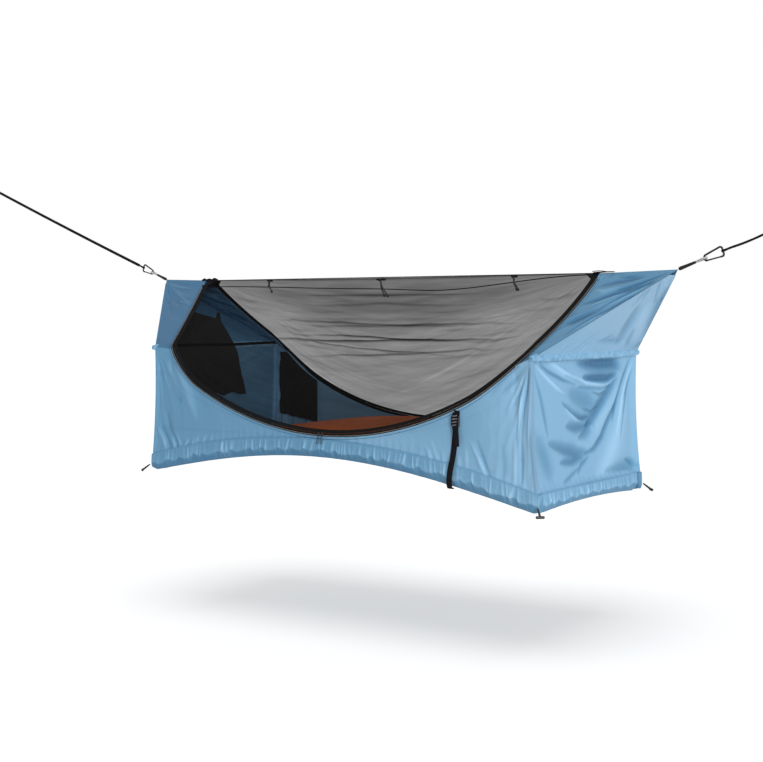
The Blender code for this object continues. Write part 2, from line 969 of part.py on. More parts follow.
# Colours, each with a roughness and, for metal, a metallic value
blue = ((0.16, 0.33, 0.50), 0.42)
hem_blue = ((0.12, 0.26, 0.42), 0.45)
dark_cloth = ((0.012, 0.012, 0.013), 0.80)
net_grey = ((0.035, 0.035, 0.037), 0.70)
trim_black = ((0.015, 0.015, 0.016), 0.60)
tape_black = ((0.03, 0.03, 0.032), 0.50)
cord_black = ((0.012, 0.012, 0.013), 0.65)
cord_white = ((0.62, 0.62, 0.60), 0.60)
pad_orange = ((0.62, 0.16, 0.05), 0.55)
moulded_black = ((0.015, 0.015, 0.017), 0.35)
grey_metal = ((0.55, 0.56, 0.58), 0.30, 1.0)
dark_metal = ((0.05, 0.055, 0.06), 0.35, 0.9)


def add_walls(tent):
    """The two long walls, each in one piece with the front faces of both hoods."""
    patches = [wall_patch(), wing_patch(-1), wing_patch(1)]
    cloth_object("front_wall", patches, cloth, blue, tent)
    cloth_object("back_wall", patches, cloth, blue, tent, turned=True)


def add_ends(tent):
    """The end walls, the hoods' end faces and the sleeves of the end seams."""
    for name, turned, sag in (("right", False, loose_sag), ("left", True, tight_sag)):
        cloth_object(f"{name}_end_wall", [end_patch(1, sag)], cloth, blue, tent, turned)
        cloth_object(f"{name}_hood", [hood_patch(1)], cloth, blue, tent, turned)
        loft_object(f"{name}_pole_sleeve", casing_rings(1), blue, tent, turned)
        add_pole(name, -1 if turned else 1, tent)


def add_pole(name, side, tent):
    """The spreader pole of one end, with rounded tips, free to slide out of its sleeve."""
    x = side * pole_x
    reach = half_width + pole_overhang
    start, end = Vector((x, -reach, waist_height)), Vector((x, reach, waist_height))
    bored(bpy.data.objects[f"{name}_pole_sleeve"], start, end, pole_radius + pole_room, tent)
    profile = [(reach - pole_tip * back, pole_radius * wide) for back, wide in pole_tip_shares]
    stations = [(-y, r) for y, r in profile] + [(y, r) for y, r in reversed(profile)]
    rings = [
        ring(Vector((x, y, waist_height)), Vector((1, 0, 0)), Vector((0, 0, 1)), r) for y, r in stations
    ]
    loft_object(f"{name}_spreader_pole", rings, grey_metal, tent, origin=Vector((x, 0, waist_height)))


def add_floor(tent):
    """The hems, the floor between them and the pad on it."""
    loft_object("front_hem", long_hem_rings(), hem_blue, tent)
    loft_object("back_hem", long_hem_rings(), hem_blue, tent, turned=True)
    loft_object("right_hem", end_hem_rings(1), hem_blue, tent)
    loft_object("left_hem", end_hem_rings(1), hem_blue, tent, turned=True)
    cloth_object("floor_panel", [floor_patch()], cloth, hem_blue, tent)
    loft_object("sleeping_pad", pad_rings(), pad_orange, tent)


def add_pockets(tent):
    """The dark hanging panels inside the left end and on the back wall."""
    x = -(half_waist + casing_out - casing_depth) + seam_gap + pocket_cloth / 2
    bottom = waist_height - end_pocket_drop
    grid = []
    edges = zip(end_pocket_rise_shares, end_pocket_front_shares, end_pocket_back_shares)
    for rise, front_share, back_share in edges:
        front, back = end_pocket_front * front_share, end_pocket_back * back_share
        row = []
        for across in end_pocket_across_shares:
            top = waist_height + end_pocket_rise - end_pocket_slope * across
            z = bottom + (top - bottom) * rise
            row.append(Vector((x, front + (back - front) * across, z)))
        grid.append(row)
    inner, outer = grid[-1][-2:]
    lift = Vector((0, 0, end_pocket_tab))
    tab = [[inner, outer], [inner.lerp(outer, end_pocket_tab_share) + lift, outer + lift]]
    cloth_object("end_pocket", [grid, tab], pocket_cloth, dark_cloth, tent)
    inward = Vector((0, half_cloth + back_pocket_gap + pocket_cloth / 2, 0))
    rows = wall_patch()[slice(*back_pocket_rows)]
    grid = [[point + inward for point in row[slice(*back_pocket_columns)]] for row in rows]
    last = len(grid[0]) - 1
    for k, (low, high) in enumerate(zip(grid[0], grid[1])):
        grid[0][k] = low.lerp(high, back_pocket_lift_share * k / last)
    cloth_object("back_pocket", [grid], pocket_cloth, dark_cloth, tent, turned=True)


def add_zips(tent):
    """The zip tapes on the walls and the bound nets that they close."""
    for name, turned in (("front", False), ("back", True)):
        loft_object(f"{name}_zip_tape", tape_rings(), tape_black, tent, turned)
        axis = Vector((0, 0, ridge_height))
        loft_object(f"{name}_binding", binding_rings(), trim_black, tent, turned, axis)
        cloth_object(f"{name}_net", [net_patch()], net_thickness, net_grey, tent, turned, axis)


def slider_centre(side):
    """The middle of a closed zip's slider, beside the lowest point of the zip."""
    angle = side * (slider_space + slider_length / 2) / scoop_radius
    out = tape_thickness / 2 + coil_height + seam_gap + slider_height / 2
    down = Vector((math.sin(angle), 0, -math.cos(angle))) * (zip_split + slider_width / 2)
    return arc_point(angle) + down + wall_outward * out, angle


def pull_path(centre):
    """The loop of cord that hangs from a slider, just clear of the wall."""
    top = centre - Vector((0, 0, slider_width / 2 + seam_gap + pull_cord / 2))
    shares = pull_right_shares + pull_left_shares
    return [top + Vector((pull_spread / 2 * a, pull_lean * b, pull_drop * b)) for a, b in shares]


def add_sliders(tent):
    """Two sliders on each zip, which meet at its lowest point, with cord pulls in front."""
    pivot = Vector((0, -half_width, scoop_centre))
    for side in (-1, 1):
        centre, angle = slider_centre(side)
        move = Matrix.Translation(centre) @ Matrix.Rotation(-angle, 4, "Y")
        for face, turn, p in (("front", Matrix.Identity(4), 1), ("back", half_turn, -1)):
            bm = bmesh.new()
            rounded_box(bm, Vector((slider_length, slider_height, slider_width)), slider_bevel)
            bmesh.ops.transform(bm, matrix=turn @ move, verts=bm.verts)
            hand = hands[side * p]
            mesh_object(f"{face}_{hand}_slider", bm, dark_metal, tent, turn @ pivot)
        rings = tube_rings(pull_path(centre), pull_cord / 2, wall_outward, closed=True, sides=thin_cord_sides)
        loft_object(f"{hands[side]}_pull_cord", rings, cord_black, tent, origin=pivot, closed=True)


def add_ridge(tent):
    """The ridge cord, the sagging gear line under it and the webbing at their ends."""
    reach = half_ridge - anchor_neck
    cord_object("ridge_cord", [Vector((-reach, 0, ridge_height)), Vector((reach, 0, ridge_height))],
                ridge_cord_radius, cord_black, tent)
    reach = half_ridge - anchor_neck - seam_gap
    points = []
    for k in range(floor_columns + 1):
        at = 2 * k / floor_columns - 1
        points.append(Vector((at * reach, 0, ridge_height - gear_end_drop - gear_sag * (1 - at**6))))
    cord_object("gear_line", points, gear_cord_radius, cord_black, tent)
    for name, side in (("right", 1), ("left", -1)):
        loft_object(f"{name}_ridge_anchor", anchor_rings(side), trim_black, tent)


def anchor_rings(side):
    """A knot on the end of the ridge cord, drawn out flat along the hood's top seam."""
    start = half_ridge - anchor_neck + seam_gap
    slope = (tip_height - ridge_height) / (half_tip - half_ridge)
    lift = half_cloth + 2 * seam_gap + anchor_height / 2
    rings = []
    for run, round_share, flat_share in anchor_round_shares + anchor_flat_shares:
        x = start + run * anchor_length
        above = (lift + slope * (x - half_ridge)) * flat_share
        wide = anchor_knot * round_share + anchor_width / 2 * flat_share
        high = anchor_knot * round_share + anchor_height / 2 * flat_share
        centre = Vector((side * x, 0, ridge_height + above))
        rings.append(ring(centre, Vector((0, 1, 0)), Vector((0, 0, 1)), wide, high))
    return rings


def add_tie(name, x, tails, parent):
    """A cord knotted on the net under the ridge, with two tails that lie on the net."""
    down = (net_place(x, tie_tail) - net_place(x, 0)).normalized()
    out = Vector((0, down.z, -down.y)).normalized()
    top = tie_knot

    def on_net(across, drop, radius):
        """A point of the tie's middle line, at a drop below the net's upper edge."""
        return net_place(x + across, drop) + out * (net_thickness / 2 + seam_gap + radius)

    thin, thick = tie_cord / 2, tie_knot / 2
    left, right = tails
    stations = [
        (-tie_knot - tie_splay, top + left, thin),
        (-tie_knot - tie_splay / 2, top + left / 2, thin),
        (-tie_knot, top + tie_knot, thin),
        (-tie_knot + thin, top, thin),
        (-thick, top, thick),
        (thick, top, thick),
        (tie_knot - thin, top, thin),
        (tie_knot, top + tie_knot, thin),
        (tie_knot + tie_splay / 2, top + right / 2, thin),
        (tie_knot + tie_splay, top + right, thin),
    ]
    path = [on_net(across, drop, max(radius, thin * 2)) for across, drop, radius in stations]
    rings = []
    for point, way, (across, drop, radius) in zip(path, tangents(path), stations):
        rings.append(ring(point, way.cross(out).normalized(), out, radius, sides=tie_sides))
    bm = bmesh.new()
    loft(bm, rings)
    bmesh.ops.translate(bm, verts=bm.verts, vec=-parent.location)
    pivot = on_net(0, top, thick)
    return mesh_object(name, bm, cord_black, parent, pivot - parent.location)


def add_ties(net):
    """The three ties, which ride on the front net."""
    add_tie("left_net_tie", tie_left, (tie_short_tail, tie_tail), net)
    add_tie("middle_net_tie", tie_middle, (tie_tail, tie_long_tail), net)
    add_tie("right_net_tie", tie_right, (tie_short_tail, tie_tail), net)


def strap_place(z):
    """A point of the strap's middle line on the outside of the wall."""
    top = tab_top()
    share = (top - z) / (top - hem_height(strap_low_x))
    return strap_top_x + (strap_low_x - strap_top_x) * share


def tab_top():
    """Height of the tab's sewn edge, just under the zip tape."""
    low = arc_point(math.asin(strap_top_x / scoop_radius)).z
    return low - (tape_width + sew_gap) / math.cos(math.asin(strap_top_x / scoop_radius)) - strap_width / 4


def add_strap(tent):
    """The compression strap: a sewn tab, a ladder lock and the webbing through it."""
    wall_face = -half_width - half_cloth - seam_gap
    pitch = buckle_bar + buckle_slot
    bar_out = wall_face - strap_thickness - seam_gap - buckle_height / 2
    top = tab_top()
    first_bar = top - tab_drop
    across = Vector((1, 0, 0))

    def at(z, y):
        return Vector((strap_place(z), y, z))

    half = strap_thickness / 2
    wrap = buckle_height / 2 + seam_gap + half
    tab = [
        at(top, wall_face - half),
        at(first_bar - buckle_bar / 2, wall_face - half),
        at(first_bar - pitch / 2, bar_out + buckle_height / 4),
        at(first_bar - pitch / 2, bar_out - buckle_height / 4),
        at(first_bar - buckle_bar / 2, bar_out - wrap),
        at(top - tab_drop / 3, bar_out - wrap),
    ]
    loft_object("strap_tab", band_rings(tab, across, strap_width / 2, half), trim_black, tent)
    bars = [first_bar - pitch * k for k in range(4)]
    middle = (bars[0] + bars[-1]) / 2
    bm = bmesh.new()
    rounded_box(bm, Vector((buckle_width, buckle_height, bars[0] - bars[-1] + buckle_bar)), buckle_bar / 4)
    centre = at(middle, bar_out)
    bmesh.ops.translate(bm, verts=bm.verts, vec=centre)
    lock = mesh_object("ladder_lock", bm, moulded_black, tent)
    for k in range(3):
        cut = bmesh.new()
        bmesh.ops.create_cube(cut, size=1)
        size = Vector((buckle_width - 2 * buckle_rail + strap_skew, buckle_height * 2, buckle_slot))
        bmesh.ops.scale(cut, vec=size, verts=cut.verts)
        bmesh.ops.translate(cut, verts=cut.verts, vec=Vector((centre.x, bar_out, bars[k] - pitch / 2)))
        cutter = mesh_object(f"lock_slot_{k}", cut, moulded_black, tent)
        cutter.hide_render = True
        cutter.display_type = "WIRE"
        slot = lock.modifiers.new("Slot", "BOOLEAN")
        slot.operation = "DIFFERENCE"
        slot.object = cutter
        slot.solver = "EXACT"
    over = bars[2]
    hem_low = hem_height(strap_low_x + strap_width / 2) - hem_pucker
    hem_top = seam_height(strap_low_x)
    bulge = -half_width - hem_bulge - 2 * hem_pucker - seam_gap * 2 - half
    webbing = [
        at(hem_low - half - seam_gap, -half_width + strap_tuck),
        at(hem_low - half - seam_gap, bulge + hem_depth / 3),
        at(hem_low + (hem_top - hem_low) / 4, bulge),
        at(hem_top - (hem_top - hem_low) / 4, bulge),
        at(hem_top + (hem_top - hem_low) / 2, wall_face - half),
        at(over + buckle_bar / 2, wall_face - half),
        at(over + pitch / 2, bar_out + buckle_height / 4),
        at(over + pitch / 2, bar_out - buckle_height / 4),
        at(over + buckle_bar / 2, bar_out - wrap),
        at(over - pitch, bar_out - wrap),
        at(over - tail_length, bar_out - wrap / 2),
    ]
    loft_object("wall_strap", band_rings(webbing, across, strap_width / 2, half), trim_black, tent)


def add_toggles(tent):
    """A T-shaped toggle at each bottom corner, which points out and down."""
    for face, p in (("front", -1), ("back", 1)):
        for hand, q in (("left", -1), ("right", 1)):
            flat = Vector((q, p, 0)).normalized()
            out = (flat * toggle_flat_share + Vector((0, 0, -1)) * toggle_drop_share).normalized()
            side = Vector((0, 0, 1)).cross(flat).normalized()
            up = side.cross(out).normalized()
            root = Vector((q * (half_floor + toggle_seat), p * (half_width + hem_bulge + toggle_seat), 0))
            bm = bmesh.new()
            stations = [(toggle_stem * run, toggle_neck * wide) for run, wide in toggle_shares]
            stations += [(0, toggle_root), (toggle_stem + toggle_overlap, toggle_neck)]
            loft(bm, [ring(root + out * s, side, up, r) for s, r in sorted(stations)])
            name = f"{face}_{hand}_toggle"
            stem = mesh_object(name, bm, moulded_black, tent, root)
            bar = bmesh.new()
            rounded_box(bar, Vector((toggle_bar, toggle_bar_width, toggle_bar_height)), toggle_bevel)
            turn = Matrix((side, up, out)).transposed().to_4x4()
            centre = root + out * (toggle_stem + toggle_bar_height / 2)
            bmesh.ops.transform(bar, matrix=Matrix.Translation(centre) @ turn, verts=bar.verts)
            join_to(stem, mesh_object(name + "_bar", bar, moulded_black, tent, root))


def add_suspension(tent):
    """What holds each tip: a sleeve, a loop of cord, a carabiner and the strap."""
    for hand, side in (("left", -1), ("right", 1)):
        up, sideways = hang_frame(side)

        def at(distance, across=0, above=0):
            return along(side, distance) + sideways * across + up * above

        stations = [(sew_gap - tip_cut, sleeve_mouth), (sleeve_flare, sleeve_start)]
        stations += [(sleeve_length - sleeve_flare, sleeve_end), (sleeve_length, sleeve_end)]
        rings = [ring(at(s), sideways, up, r) for s, r in stations]
        loft_object(f"{hand}_cord_sleeve", rings, cord_black, tent)
        add_cord_loop(hand, at, up, tent)
        add_carabiner(hand, at, sideways, tent)
        add_strap_line(hand, side, at, up, tent)


def add_cord_loop(hand, at, up, tent):
    """The cord that leaves the sleeve and goes round the carabiner's narrow end."""
    start = loop_cord + loop_spread
    wide = carabiner_rod + seam_gap + loop_cord
    ends = (cord_start, start), (cord_start + loop_length / 4, start), (near_rod - loop_length / 3, wide)
    path = [at(distance, -across) for distance, across in ends]
    for k in range(bend_steps + 1):
        turn = math.pi * k / bend_steps
        path.append(at(near_rod + wide * math.sin(turn), -wide * math.cos(turn)))
    path += [at(distance, across) for distance, across in reversed(ends)]
    loft_object(f"{hand}_cord_loop", tube_rings(path, loop_cord, up), cord_white, tent)


def rounded_corner(before, corner, after, radius, steps):
    """Points along a fillet between two straight runs."""
    a = (before - corner).normalized()
    b = (after - corner).normalized()
    half = math.acos(max(-1, min(1, a.dot(b)))) / 2
    start = corner + a * radius / math.tan(half)
    end = corner + b * radius / math.tan(half)
    centre = corner + (a + b).normalized() * radius / math.sin(half)
    points = []
    for k in range(steps + 1):
        way = (start - centre).lerp(end - centre, k / steps).normalized()
        points.append(centre + way * radius)
    return points


def add_carabiner(hand, at, sideways, tent):
    """A carabiner with a narrow end on the cord, a wide end on the strap and a sprung gate."""
    wide = carabiner_width / 2 - carabiner_rod
    narrow = carabiner_nose_width / 2 - carabiner_rod
    low_far, high_far = at(far_rod, 0, -wide), at(far_rod, 0, wide)
    high_near, low_near = at(near_rod, 0, narrow), at(near_rod, 0, -narrow)
    nose = low_far.lerp(low_near, gate_start_share)
    hinge = low_far.lerp(low_near, gate_end_share)
    path = [nose]
    path += rounded_corner(low_near, low_far, high_far, carabiner_corner, corner_steps)
    path += rounded_corner(low_far, high_far, high_near, carabiner_corner, corner_steps)
    path += rounded_corner(high_far, high_near, low_near, carabiner_corner, corner_steps)
    path += rounded_corner(high_near, low_near, low_far, carabiner_corner, corner_steps)
    path.append(hinge)
    loft_object(f"{hand}_carabiner", tube_rings(path, carabiner_rod, sideways), dark_metal, tent)
    way = (nose - hinge).normalized()
    pivot = hinge + way * (seam_gap + gate_rod)
    end = nose - way * seam_gap
    across = way.cross(sideways).normalized()
    stations = [(-gate_rod * math.cos(t), gate_rod * math.sin(t)) for t in gate_turns]
    rings = [ring(pivot + way * s, sideways, across, r) for s, r in stations]
    rings.append(ring(end, sideways, across, gate_rod))
    loft_object(f"{hand}_gate", rings, grey_metal, tent, origin=pivot)


def add_strap_line(hand, side, at, up, tent):
    """The flat strap from the carabiner to its far eye, with a sewn loop at each end."""
    half = web_thickness / 2
    close = half + seam_gap
    bend = carabiner_rod + seam_gap + half
    path = [at(far_rod + web_loop_length, -close), at(far_rod + web_loop_length / 2, -close)]
    for k in range(bend_steps + 1):
        turn = math.pi * k / bend_steps
        path.append(at(far_rod - bend * math.sin(turn), -bend * math.cos(turn)))
    path += [at(far_rod + web_loop_length / 2, close), at(far_rod + web_loop_length, close)]
    loft_object(f"{hand}_strap_loop", band_rings(path, up, web_width / 2, half), cord_black, tent)
    span = strap_spans[side]
    count = max(fewest_strap_steps, round(span / strap_step))
    line = []
    for k in range(count + 1):
        share = k / count
        line.append(at(strap_start + span * share) - Vector((0, 0, strap_sag * 4 * share * (1 - share))))
    loft_object(f"{hand}_strap", band_rings(line, up, web_width / 2, half), cord_black, tent)
    start = eye_start(side)
    end = start + eye_length - half
    wide = eye_width / 2 - half
    corner = eye_inner_radius + half
    middle = start + eye_length / 2
    path = [at(start, -close), at(start + eye_length / 6, -close), at(middle, -wide)]
    path += rounded_corner(at(middle, -wide), at(end, -wide), at(end, wide), corner, eye_steps)
    path += rounded_corner(at(end, -wide), at(end, wide), at(middle, wide), corner, eye_steps)
    path += [at(middle, wide), at(start + eye_length / 6, close), at(start, close)]
    loft_object(f"{hand}_anchor_eye", band_rings(path, up, web_width / 2, half), cord_black, tent)


def build():
    """Make every piece of the tent."""
    clear_scene()
    tent = bpy.data.objects.new("tent_middle", None)
    bpy.context.scene.collection.objects.link(tent)
    tent.location = hangs_from
    add_walls(tent)
    add_ends(tent)
    add_floor(tent)
    add_pockets(tent)
    add_zips(tent)
    add_sliders(tent)
    add_ridge(tent)
    add_ties(bpy.data.objects["front_net"])
    add_strap(tent)
    add_toggles(tent)
    add_suspension(tent)


build()
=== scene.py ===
"""Looks of the hammock tent: cloth, net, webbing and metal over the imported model."""

import math
import random

import bmesh
import bpy
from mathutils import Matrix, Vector, noise


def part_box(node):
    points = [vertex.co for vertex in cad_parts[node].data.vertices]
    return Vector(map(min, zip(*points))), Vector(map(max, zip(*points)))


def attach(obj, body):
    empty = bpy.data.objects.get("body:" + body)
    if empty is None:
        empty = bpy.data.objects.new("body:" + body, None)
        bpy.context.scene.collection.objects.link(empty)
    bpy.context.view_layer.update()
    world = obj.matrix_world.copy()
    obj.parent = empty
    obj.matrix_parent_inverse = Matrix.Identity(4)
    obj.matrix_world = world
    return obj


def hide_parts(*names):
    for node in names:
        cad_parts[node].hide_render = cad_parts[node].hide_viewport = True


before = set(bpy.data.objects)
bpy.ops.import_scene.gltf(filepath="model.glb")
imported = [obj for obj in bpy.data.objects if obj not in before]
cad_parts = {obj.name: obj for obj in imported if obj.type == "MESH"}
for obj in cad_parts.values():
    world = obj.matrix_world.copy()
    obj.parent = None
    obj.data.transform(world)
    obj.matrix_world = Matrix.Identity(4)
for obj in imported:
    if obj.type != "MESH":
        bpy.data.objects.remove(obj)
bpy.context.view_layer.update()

# The tent's own middle, with its bottom corners at zero height
MIDDLE = Vector((2.788360, 0, -1.375374))

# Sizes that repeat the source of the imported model, in metres
floor_length, floor_width = 2.04, 0.80
waist_length, waist_height = 1.98, 0.53
ridge_length, ridge_height = 2.06, 0.838
tip_span, tip_height = 2.71, 0.848
tip_cut = 0.004
cloth = 0.0016
hem_depth, hem_bulge, hem_rise, hem_drop, hem_end_rise = 0.030, 0.007, 0.133, 0.030, 0.018
hem_sag, edge_slack, tape_under, pad_lift = 0.030, 0.012, 0.6, 0.0012
seam_rise, seam_corner = 0.178, 0.045
scoop_radius, scoop_low, scoop_half = 1.60, 0.205, 0.70
knee_height = 0.535
knees = {-1: (0.874, -0.006, 0.120, 0.030, 0.04, 0.91), 1: (0.948, 0.022, 0.120, 0.075, 0.15, 0.93)}
top_reaches, upper_ahead = {-1: 0.034, 1: 0.0}, 0.02
tape_width, tape_thickness = 0.014, 0.0020
binding_width, binding_thickness = 0.0150, 0.0020
zip_split = 0.0006
casing_height, casing_depth, casing_out = 0.033, 0.018, 0.010
casing_inset, casing_taper, casing_end_share = -0.011, 0.034, 0.62
pad_length, pad_width, pad_thickness = 1.88, 0.66, 0.070
hang_angle = math.radians(20.2)
web_width, web_thickness = 0.014, 0.0024
near_rod, far_rod, carabiner_rod = 0.1023, 0.1751, 0.0036
strap_start, strap_spans = 0.2094, {-1: 1.260, 1: 0.135}
eye_length, eye_width, eye_inner = 0.060, 0.030, 0.006
seam_gap = 0.0003

half_floor, half_width, half_waist = floor_length / 2, floor_width / 2, waist_length / 2
half_ridge, half_tip = ridge_length / 2, tip_span / 2
scoop_centre = scoop_low + scoop_radius
ridge_end = {s: Vector((s * half_ridge, 0, ridge_height)) for s in (-1, 1)}
front = Vector((0, -1, 0))
hands = {-1: "left", 1: "right"}
notch_x = half_waist + casing_out - casing_depth - 0.0011
pole_x = half_waist + casing_out - casing_depth / 2

# Camera, fitted to the photograph

lens, sensor_width = 59.1, 36
camera_place = Vector((3.3085, -4.2052, 0.7109))
camera_down, camera_turn = 3.37, 38.235
camera_data = bpy.data.cameras.new("camera")
camera_data.sensor_width = sensor_width
camera_data.lens = lens
camera = bpy.data.objects.new("camera", camera_data)
bpy.context.scene.collection.objects.link(camera)
camera.location = MIDDLE + camera_place
camera.rotation_euler = (math.radians(90 - camera_down), 0, math.radians(camera_turn))
bpy.context.scene.camera = camera


# Materials

materials = {}


class Paint:
    """A node material that is built up step by step."""

    def __init__(self, name, **values):
        self.material = bpy.data.materials.new(name)
        self.material.use_nodes = True
        self.tree = self.material.node_tree
        self.shader = self.tree.nodes["Principled BSDF"]
        for key, value in values.items():
            self.shader.inputs[key.replace("_", " ")].default_value = value
        materials[name] = self.material

    def add(self, kind, settings=None, **inputs):
        made = self.tree.nodes.new("ShaderNode" + kind)
        for key, value in (settings or {}).items():
            setattr(made, key, value)
        for key, value in inputs.items():
            socket = made.inputs[int(key[1:])] if key[0] == "i" and key[1:].isdigit() else made.inputs[key]
            self.put(value, socket)
        return made

    def put(self, value, socket):
        if isinstance(value, bpy.types.NodeSocket):
            self.tree.links.new(value, socket)
        else:
            socket.default_value = value

    def coords(self, kind="UV", scale=(1, 1, 1), turn=0.0):
        source = self.add("TexCoord").outputs[kind]
        mapping = self.add("Mapping", Vector=source, Scale=scale, Rotation=(0, 0, turn))
        return mapping.outputs["Vector"]

    def noise(self, where, scale, detail=4.0, rough=0.55, distort=0.0):
        sizes = {"Scale": scale, "Detail": detail, "Roughness": rough, "Distortion": distort}
        return self.add("TexNoise", Vector=where, **sizes).outputs["Fac"]

    def wave(self, where, scale, direction="X", distort=0.0):
        settings = {"bands_direction": direction}
        return self.add("TexWave", settings, Vector=where, Scale=scale, Distortion=distort).outputs["Fac"]

    def math(self, what, a, b=0.0):
        return self.add("Math", {"operation": what}, i0=a, i1=b).outputs[0]

    def plus(self, a, b):
        return self.math("ADD", a, b)

    def times(self, a, b):
        return self.math("MULTIPLY", a, b)

    def clamped(self, value, most):
        return self.math("MINIMUM", self.math("MAXIMUM", value, 0.0), most)

    def remap(self, value, low, high, to_low=0.0, to_high=1.0):
        smooth = {"interpolation_type": "SMOOTHSTEP"}
        return self.add("MapRange", smooth, i0=value, i1=low, i2=high, i3=to_low, i4=to_high).outputs[0]

    def blend(self, share, a, b):
        made = self.add("Mix", {"data_type": "RGBA"})
        self.put(share, made.inputs["Factor"])
        self.put(a, made.inputs[6])
        self.put(b, made.inputs[7])
        return made.outputs[2]

    def bump(self, height, distance, strength=1.0, under=None):
        made = self.add("Bump", Height=height, Distance=distance, Strength=strength)
        if under is not None:
            self.put(under, made.inputs["Normal"])
        return made.outputs["Normal"]

    def attribute(self, name):
        return self.add("Attribute", {"attribute_name": name}).outputs["Fac"]

    def colour(self, value):
        self.put(value, self.shader.inputs["Base Color"])

    def rough(self, value):
        self.put(value, self.shader.inputs["Roughness"])

    def normal(self, value):
        self.put(value, self.shader.inputs["Normal"])


def rgb(r, g, b):
    return (r, g, b, 1.0)


ripstop_pitch, weave_pitch = 26.2, 420.0
# Painted light from the tone attribute: how far it may go, and how much of the painted shade colour and the
# painted highlight colour it takes
painted_light_limit, painted_shade_share, painted_highlight_share = 1.2, 0.62, 0.80


def coated_cloth(name, low, high, deep, painted_highlight, roughness=0.40, crinkle=0.0014):
    """Thin coated ripstop nylon: a satin sheen, a fine square grid, soft creases, and painted shade and
    painted highlight in its folds.
    """
    p = Paint(name, Specular_IOR_Level=0.08 if high[2] > 0.03 else 0.05)
    flat = p.coords()
    broad = p.noise(flat, 3.0, 3.0)
    worn = p.noise(p.coords(scale=(3.0, 1.0, 1.0)), 14.0, 5.0, 0.6)
    mix = p.plus(p.times(broad, 0.7), p.times(worn, 0.3))
    squares = p.math("MAXIMUM", p.wave(flat, ripstop_pitch, "X"), p.wave(flat, ripstop_pitch, "Y"))
    grid = p.remap(squares, 0.965, 1.0)
    weave = p.times(p.wave(flat, weave_pitch, "X"), p.wave(flat, weave_pitch, "Y"))
    tone = p.blend(p.remap(mix, 0.32, 0.68), low, high)
    tone = p.blend(p.times(grid, 0.08), tone, deep)
    # Painted shade and highlight: the tone attribute darkens the cloth towards the deep colour in fold
    # hollows and lightens it towards the highlight colour on crests
    painted_fold_light = p.attribute("tone")
    tone = p.blend(p.times(p.clamped(painted_fold_light, painted_light_limit), painted_shade_share), tone, deep)
    tone = p.blend(p.times(p.clamped(p.times(painted_fold_light, -1.0), painted_light_limit), painted_highlight_share), tone, painted_highlight)
    p.colour(tone)
    p.rough(p.remap(worn, 0.25, 0.75, roughness - 0.07, roughness + 0.09))
    # creases: thin soft ridges where two slow noises cross their middle
    ridges = []
    for scale, turn, size, distort, width in (((1.6, 0.7, 1.0), 0.25, 9.0, 0.6, 0.10),
                                              ((0.8, 1.5, 1.0), -0.5, 15.0, 0.8, 0.09)):
        slow = p.noise(p.coords(scale=scale, turn=turn), size, 2.0, 0.5, distort)
        off_middle = p.math("ABSOLUTE", p.math("SUBTRACT", slow, 0.5))
        ridges.append(p.remap(off_middle, 0.0, width, 1.0, 0.0))
    folds = p.plus(ridges[0], p.times(ridges[1], 0.5))
    soft = p.noise(p.coords(scale=(2.0, 1.0, 1.0)), 22.0, 4.0, 0.5)
    base = p.bump(p.plus(p.times(folds, 0.35), soft), crinkle, 0.6)
    p.normal(p.bump(p.plus(grid, p.times(weave, 0.5)), 0.00012, 0.5, base))
    return p


def woven(name, low, high, along=900.0, across=420.0, depth=0.00018, roughness=0.75):
    """Tape or webbing: ribs along its length crossed by a tight weave."""
    p = Paint(name, Specular_IOR_Level=0.05)
    flat = p.coords()
    ribs = p.wave(flat, across, "Y", 0.5)
    picks = p.wave(flat, along, "X", 0.5)
    twill = p.wave(p.coords(turn=0.6), along * 0.5, "X", 1.0)
    dust = p.noise(flat, 60.0, 4.0, 0.6)
    height = p.plus(p.times(ribs, 0.6), p.times(p.plus(picks, twill), 0.3))
    p.colour(p.blend(p.times(p.plus(height, dust), 0.5), low, high))
    p.rough(p.remap(dust, 0.3, 0.7, roughness - 0.08, roughness + 0.08))
    p.normal(p.bump(height, depth, 0.7))
    return p


def braided(name, low, high, pitch=260.0):
    """Braided cord: two crossing spirals of strands."""
    p = Paint(name, Specular_IOR_Level=0.2)
    one, two = (p.wave(p.coords(scale=(1, 2, 1), turn=turn), pitch, "X") for turn in (0.7, -0.7))
    height = p.math("MAXIMUM", one, two)
    dust = p.noise(p.coords(), 90.0, 3.0)
    p.colour(p.blend(p.times(height, p.remap(dust, 0.2, 0.8, 0.5, 1.0)), low, high))
    p.rough(p.remap(dust, 0.3, 0.7, 0.52, 0.70))
    p.normal(p.bump(height, 0.0004, 0.8))
    return p


def metal(name, low, high, roughness):
    """Anodised or bare metal with fine brushing, small scuffs and a change of tone."""
    p = Paint(name, Metallic=1.0)
    grain = p.noise(p.coords("Object", scale=(30.0, 30.0, 400.0)), 6.0, 5.0, 0.6)
    spots = p.noise(p.coords("Object"), 70.0, 5.0, 0.7)
    scuffs = p.remap(spots, 0.60, 0.72)
    p.colour(p.blend(p.plus(p.times(grain, 0.6), p.times(scuffs, 0.4)), low, high))
    worn = p.plus(grain, p.times(scuffs, 0.3))
    p.rough(p.remap(worn, 0.2, 0.9, roughness - 0.06, roughness + 0.14))
    p.normal(p.bump(grain, 0.00006, 0.5))
    return p


def moulded(name, low, high, roughness=0.42):
    """Moulded plastic with a fine spark-eroded grain."""
    p = Paint(name, Specular_IOR_Level=0.3)
    grain = p.noise(p.coords("Object"), 900.0, 3.0, 0.6)
    broad = p.noise(p.coords("Object"), 60.0, 3.0)
    p.colour(p.blend(broad, low, high))
    p.rough(p.remap(p.plus(grain, broad), 0.6, 1.4, roughness - 0.08, roughness + 0.10))
    p.normal(p.bump(grain, 0.00012, 0.5))
    return p


bunched_share = 0.46


